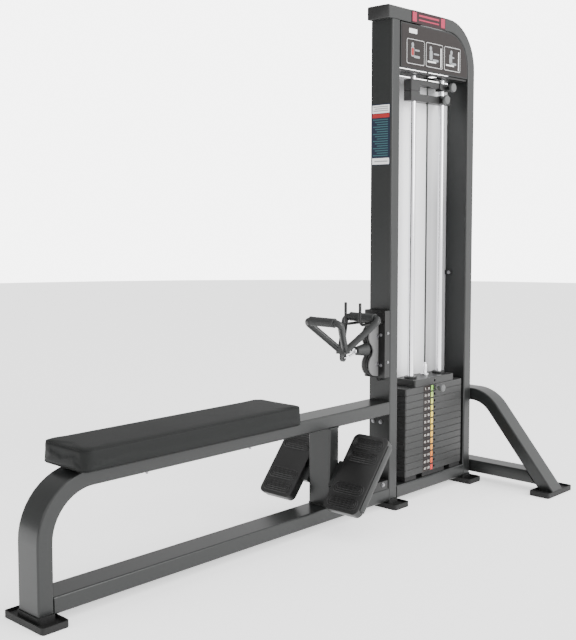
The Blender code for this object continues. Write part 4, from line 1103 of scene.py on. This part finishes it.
def number_text(label, size):
    """Outline text turned into a thin solid mesh at the origin."""
    curve = bpy.data.curves.new("digits", "FONT")
    curve.body = label
    curve.size = size
    curve.extrude = 0.0002
    curve.resolution_u = 3
    curve.align_x = "CENTER"
    curve.align_y = "CENTER"
    obj = bpy.data.objects.new("digits", curve)
    bpy.context.scene.collection.objects.link(obj)
    bpy.context.view_layer.update()
    graph = bpy.context.evaluated_depsgraph_get()
    mesh = bpy.data.meshes.new_from_object(obj.evaluated_get(graph))
    verts = np.zeros(len(mesh.vertices) * 3)
    mesh.vertices.foreach_get("co", verts)
    faces = [tuple(p.vertices) for p in mesh.polygons]
    bpy.data.objects.remove(obj)
    return verts.reshape(-1, 3), faces


def weight_labels():
    """A brown label on each plate with its number and a load colour bar."""
    x0, x1 = LEG_FACE + LABELS_X[0], LEG_FACE + LABELS_X[1]
    for number in range(1, 14):
        node = "weight_plate_%02d" % number
        body = LIFT if number == 1 else ROOT
        lo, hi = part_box(node)
        y = lo.y - 0.0001
        z0, z1 = lo.z + 0.0016, hi.z - 0.0016
        film("strip_%02d" % number, [bar(x0, x1, z0, z1, 0.001)], y, "strip", body)
        film("scale_%02d" % number, [bar(x1 - 0.017, x1 - 0.002, z0 + 0.001, z1 - 0.001)], y - 0.0004,
             "scale", body)
        parts = []
        for column, value in ((0.012, number * 5), (0.034, number * 10)):
            verts, faces = number_text(str(value), 0.013)
            points = np.stack([verts[:, 0] + x0 + column, y - 0.0006 - verts[:, 2],
                               verts[:, 1] + (z0 + z1) / 2], -1)
            parts.append((points, faces))
        verts, faces = join_parts(parts)
        build_object("digits_%02d" % number, verts, faces, paint("digits"), body, "board")


def rear_guard():
    """Pale sheet behind the stack."""
    refined("rear_guard", paint("guard"), 0.0, 40.0)


# ------------------------------------------------------------------ fasteners
def fasteners():
    """Bolts under the bench, on the upright and at the rail's block."""
    rail_under = high("bench_tube").z - 0.050
    parts = []
    for x in SEAT_BOLTS_X:
        parts.append(bolt_head(at(x, 0, rail_under), (0, 0, -1), 0.0085, 0.0080))
        parts.append(turned([(0.0045, 0.0), (0.0045, 0.0180), (0.0036, 0.0192)], at(x, 0, rail_under),
                            (0, 0, -1), 24))
    parts += [bolt_head(at(FRONT_FACE_X, 0.010 + aside, 0.324), (-1, 0, 0), 0.0065, 0.0055)
              for aside in (-0.018, 0.018)]
    parts.append(bolt_head(at(GUIDE_X, -0.050, 0.0955), (0, -1, 0), 0.0065, 0.0055))
    verts, faces = join_parts(parts)
    build_object("frame_bolts", verts, faces, paint("zinc"), ROOT, "chrome")
    rail = high("lower_rail").z
    block = plate_on(at(1.485, 0, rail + SKIN), (1, 0, 0), (0, 1, 0), rounded(0.044, 0.0495, 0.004),
                     0.034, 0.0025)
    build_object("rail_block", *block, paint("black"), ROOT, "black_steel")
    clip = plate_on(at(REAR_FACE_X - SKIN, 0.0325, 0.871), (0, -1, 0), (0, 0, 1),
                    rounded(0.0160, 0.0090, 0.003), 0.004, 0.0010)
    build_object("rear_clip", *clip, paint("black"), ROOT, "black_steel")
    bolt = bolt_head(at(REAR_FACE_X - 0.0040, 0.030, 0.871), (-1, 0, 0), 0.0055, 0.0045)
    build_object("clip_bolt", *bolt, paint("zinc"), ROOT, "chrome")


# ---------------------------------------------------------------------- stage
def camera():
    """Camera at the machine's bench end, a little above seat height."""
    lens = bpy.data.cameras.new("camera")
    lens.lens = 55.95
    lens.sensor_width = 36.0
    lens.shift_y = -0.0463
    lens.clip_end = 60.0
    obj = bpy.data.objects.new("camera", lens)
    yaw, pitch = math.radians(43.075), math.radians(-4.22)
    aim = Vector((math.cos(yaw) * math.cos(pitch), math.sin(yaw) * math.cos(pitch), math.sin(pitch)))
    obj.location = at(-1.432, -2.300, 1.100)
    obj.rotation_euler = aim.to_track_quat("-Z", "Y").to_euler()
    bpy.context.scene.collection.objects.link(obj)
    bpy.context.scene.camera = obj


def area_light(name, place, aim, size, power):
    """One soft square lamp."""
    data = bpy.data.lights.new(name, "AREA")
    data.shape = "SQUARE"
    data.size = size
    data.energy = power
    obj = bpy.data.objects.new(name, data)
    obj.location = place
    obj.rotation_euler = (Vector(aim) - Vector(place)).to_track_quat("-Z", "Y").to_euler()
    bpy.context.scene.collection.objects.link(obj)


def studio():
    """White floor and backdrop light with soft lamps."""
    half = 14.0
    turn = np.linspace(0, 2 * math.pi, 64, endpoint=False)
    verts = np.column_stack([half * np.cos(turn), half * np.sin(turn), np.zeros(64)])
    mesh = bpy.data.meshes.new("floor")
    mesh.from_pydata(verts.tolist(), [], [tuple(range(64))])
    floor = bpy.data.objects.new("floor", mesh)
    bpy.context.scene.collection.objects.link(floor)
    coat = Paint("floor_white", (0.95, 0.95, 0.95), 0.8, 0.0, Emission_Strength=0.9)
    grain = coat.noise(2.0, 2.0)
    coat.roughness_from(0.78 + grain * 0.04)
    mesh.materials.append(coat.material)
    world = bpy.data.worlds.new("studio")
    world.use_nodes = True
    nodes, wires = world.node_tree.nodes, world.node_tree.links
    around = nodes["Background"]
    backdrop = nodes.new("ShaderNodeBackground")
    backdrop.inputs[1].default_value = 6.0
    facing = nodes.new("ShaderNodeVectorMath")
    facing.operation = "DOT_PRODUCT"
    facing.inputs[1].default_value = (0.36, -0.84, 0.40)
    wires.new(nodes.new("ShaderNodeTexCoord").outputs["Generated"], facing.inputs[0])
    span = nodes.new("ShaderNodeMapRange")
    for slot, value in enumerate((-0.5, 0.8, sizes().sky * 0.22, sizes().sky), 1):
        span.inputs[slot].default_value = value
    wires.new(facing.outputs["Value"], span.inputs[0])
    wires.new(span.outputs[0], around.inputs[1])
    choose = nodes.new("ShaderNodeMixShader")
    wires.new(nodes.new("ShaderNodeLightPath").outputs["Is Camera Ray"], choose.inputs[0])
    wires.new(around.outputs[0], choose.inputs[1])
    wires.new(backdrop.outputs[0], choose.inputs[2])
    wires.new(choose.outputs[0], nodes["World Output"].inputs[0])
    for shader in (around, backdrop):
        shader.inputs[0].default_value = (1.0, 1.0, 1.0, 1.0)
    bpy.context.scene.world = world
    area_light("key", (1.6, -4.4, 2.3), (0.6, 0.0, 0.9), 2.4, sizes().key)
    area_light("fill", (-3.2, 0.6, 1.6), (0.0, 0.0, 0.6), 1.6, sizes().key * 0.12)


# ------------------------------------------------------------------ interface
class RowSizes(bpy.types.PropertyGroup):
    """Sizes a user may change before building."""
    seat_swell: FloatProperty(name="Seat swell", description="Most that the seat cover may bulge",
                              default=0.0022, min=0.0, unit="LENGTH")
    piping: FloatProperty(name="Piping", description="Radius of the seat's piping", default=0.0016,
                          unit="LENGTH")
    rib_count: IntProperty(name="Ribs", description="Nested loops in each group on a foot plate", default=3,
                           min=1, max=4)
    rib_pitch: FloatProperty(name="Rib pitch", description="Distance between nested loops", default=0.0078,
                             unit="LENGTH")
    rib_height: FloatProperty(name="Rib height", description="How far a rib stands up", default=0.0027,
                              unit="LENGTH")
    sky: FloatProperty(name="Sky light", description="Strength of the light all round", default=2.4, min=0.0)
    key: FloatProperty(name="Key light", description="Power of the main lamp", default=150.0, min=0.0,
                       unit="POWER")


class RowColours(bpy.types.PropertyGroup):
    """Colours a user may change before building."""
    frame: FloatVectorProperty(name="Frame", description="Frame paint", subtype="COLOR",
                               default=(0.0145, 0.0155, 0.0152), min=0.0, max=1.0)
    seat: FloatVectorProperty(name="Seat", description="Seat cover", subtype="COLOR",
                              default=(0.0080, 0.0088, 0.0085), min=0.0, max=1.0)
    plates: FloatVectorProperty(name="Plates", description="Weight plate enamel", subtype="COLOR",
                                default=(0.024, 0.0245, 0.024), min=0.0, max=1.0)


def piece_operator(word, label, note, *steps):
    """Operator class that runs the given making functions."""

    def execute(self, context):
        for step in steps:
            step()
        return {"FINISHED"}

    return type("ROW_OT_" + word, (bpy.types.Operator,), {
        "__doc__": note, "bl_idname": "row." + word, "bl_label": label, "execute": execute})


OPERATORS = (
    piece_operator("camera", "Camera", "Place the camera", camera),
    piece_operator("frame", "Frame", "Make the painted tubes and welds", frame_tubes, frame_details),
    piece_operator("pads", "Foot pads", "Make the rubber foot pads", foot_pads),
    piece_operator("seat", "Seat", "Make the cushion, piping and board", seat_cushion, seat_trim),
    piece_operator("treads", "Foot plates", "Make the ribbed foot plates", foot_plates),
    piece_operator("pulleys", "Pulleys", "Make the pulley block and wheels", pulley_unit),
    piece_operator("cables", "Cables", "Make the jacketed cable", cables),
    piece_operator("handle", "Handle", "Make the handle, grips and link", handle),
    piece_operator("rods", "Guide rods", "Make the rods, collars and bracket", guide_rods),
    piece_operator("stack", "Weight stack", "Make the plates, selector and pin", weight_stack),
    piece_operator("addons", "Add-on weights", "Make the add-on weights and knobs", addon_weights),
    piece_operator("prints", "Boards and labels", "Make the board, plaque and labels",
                   placard, plaque, upright_label, weight_labels),
    piece_operator("guard", "Rear guard", "Make the sheet behind the stack", rear_guard),
    piece_operator("bolts", "Fasteners", "Make bolts, block and clip", fasteners),
    piece_operator("stage", "Stage", "Make the floor and lights", studio),
)


class ROW_PT_panel(bpy.types.Panel):
    """Lists the pieces and their settings"""
    bl_label = "Seated Cable Row"
    bl_idname = "ROW_PT_panel"
    bl_space_type = "VIEW_3D"
    bl_region_type = "UI"
    bl_category = "Cable Row"

    def draw(self, context):
        for group in (context.scene.row_sizes, context.scene.row_colours):
            for key in group.bl_rna.properties.keys():
                if key not in ("rna_type", "name"):
                    self.layout.prop(group, key)
        for operator in OPERATORS:
            self.layout.operator(operator.bl_idname)


CLASSES = (RowSizes, RowColours, *OPERATORS, ROW_PT_panel)


def register():
    for item in CLASSES:
        bpy.utils.register_class(item)
    bpy.types.Scene.row_sizes = PointerProperty(type=RowSizes)
    bpy.types.Scene.row_colours = PointerProperty(type=RowColours)


def unregister():
    del bpy.types.Scene.row_colours
    del bpy.types.Scene.row_sizes
    for item in reversed(CLASSES):
        bpy.utils.unregister_class(item)


def main():
    """Registers the classes, makes every piece and writes the sizes."""
    register()
    for operator in OPERATORS:
        getattr(bpy.ops.row, operator.bl_idname.split(".")[1])()


if __name__ == "__main__":
    main()
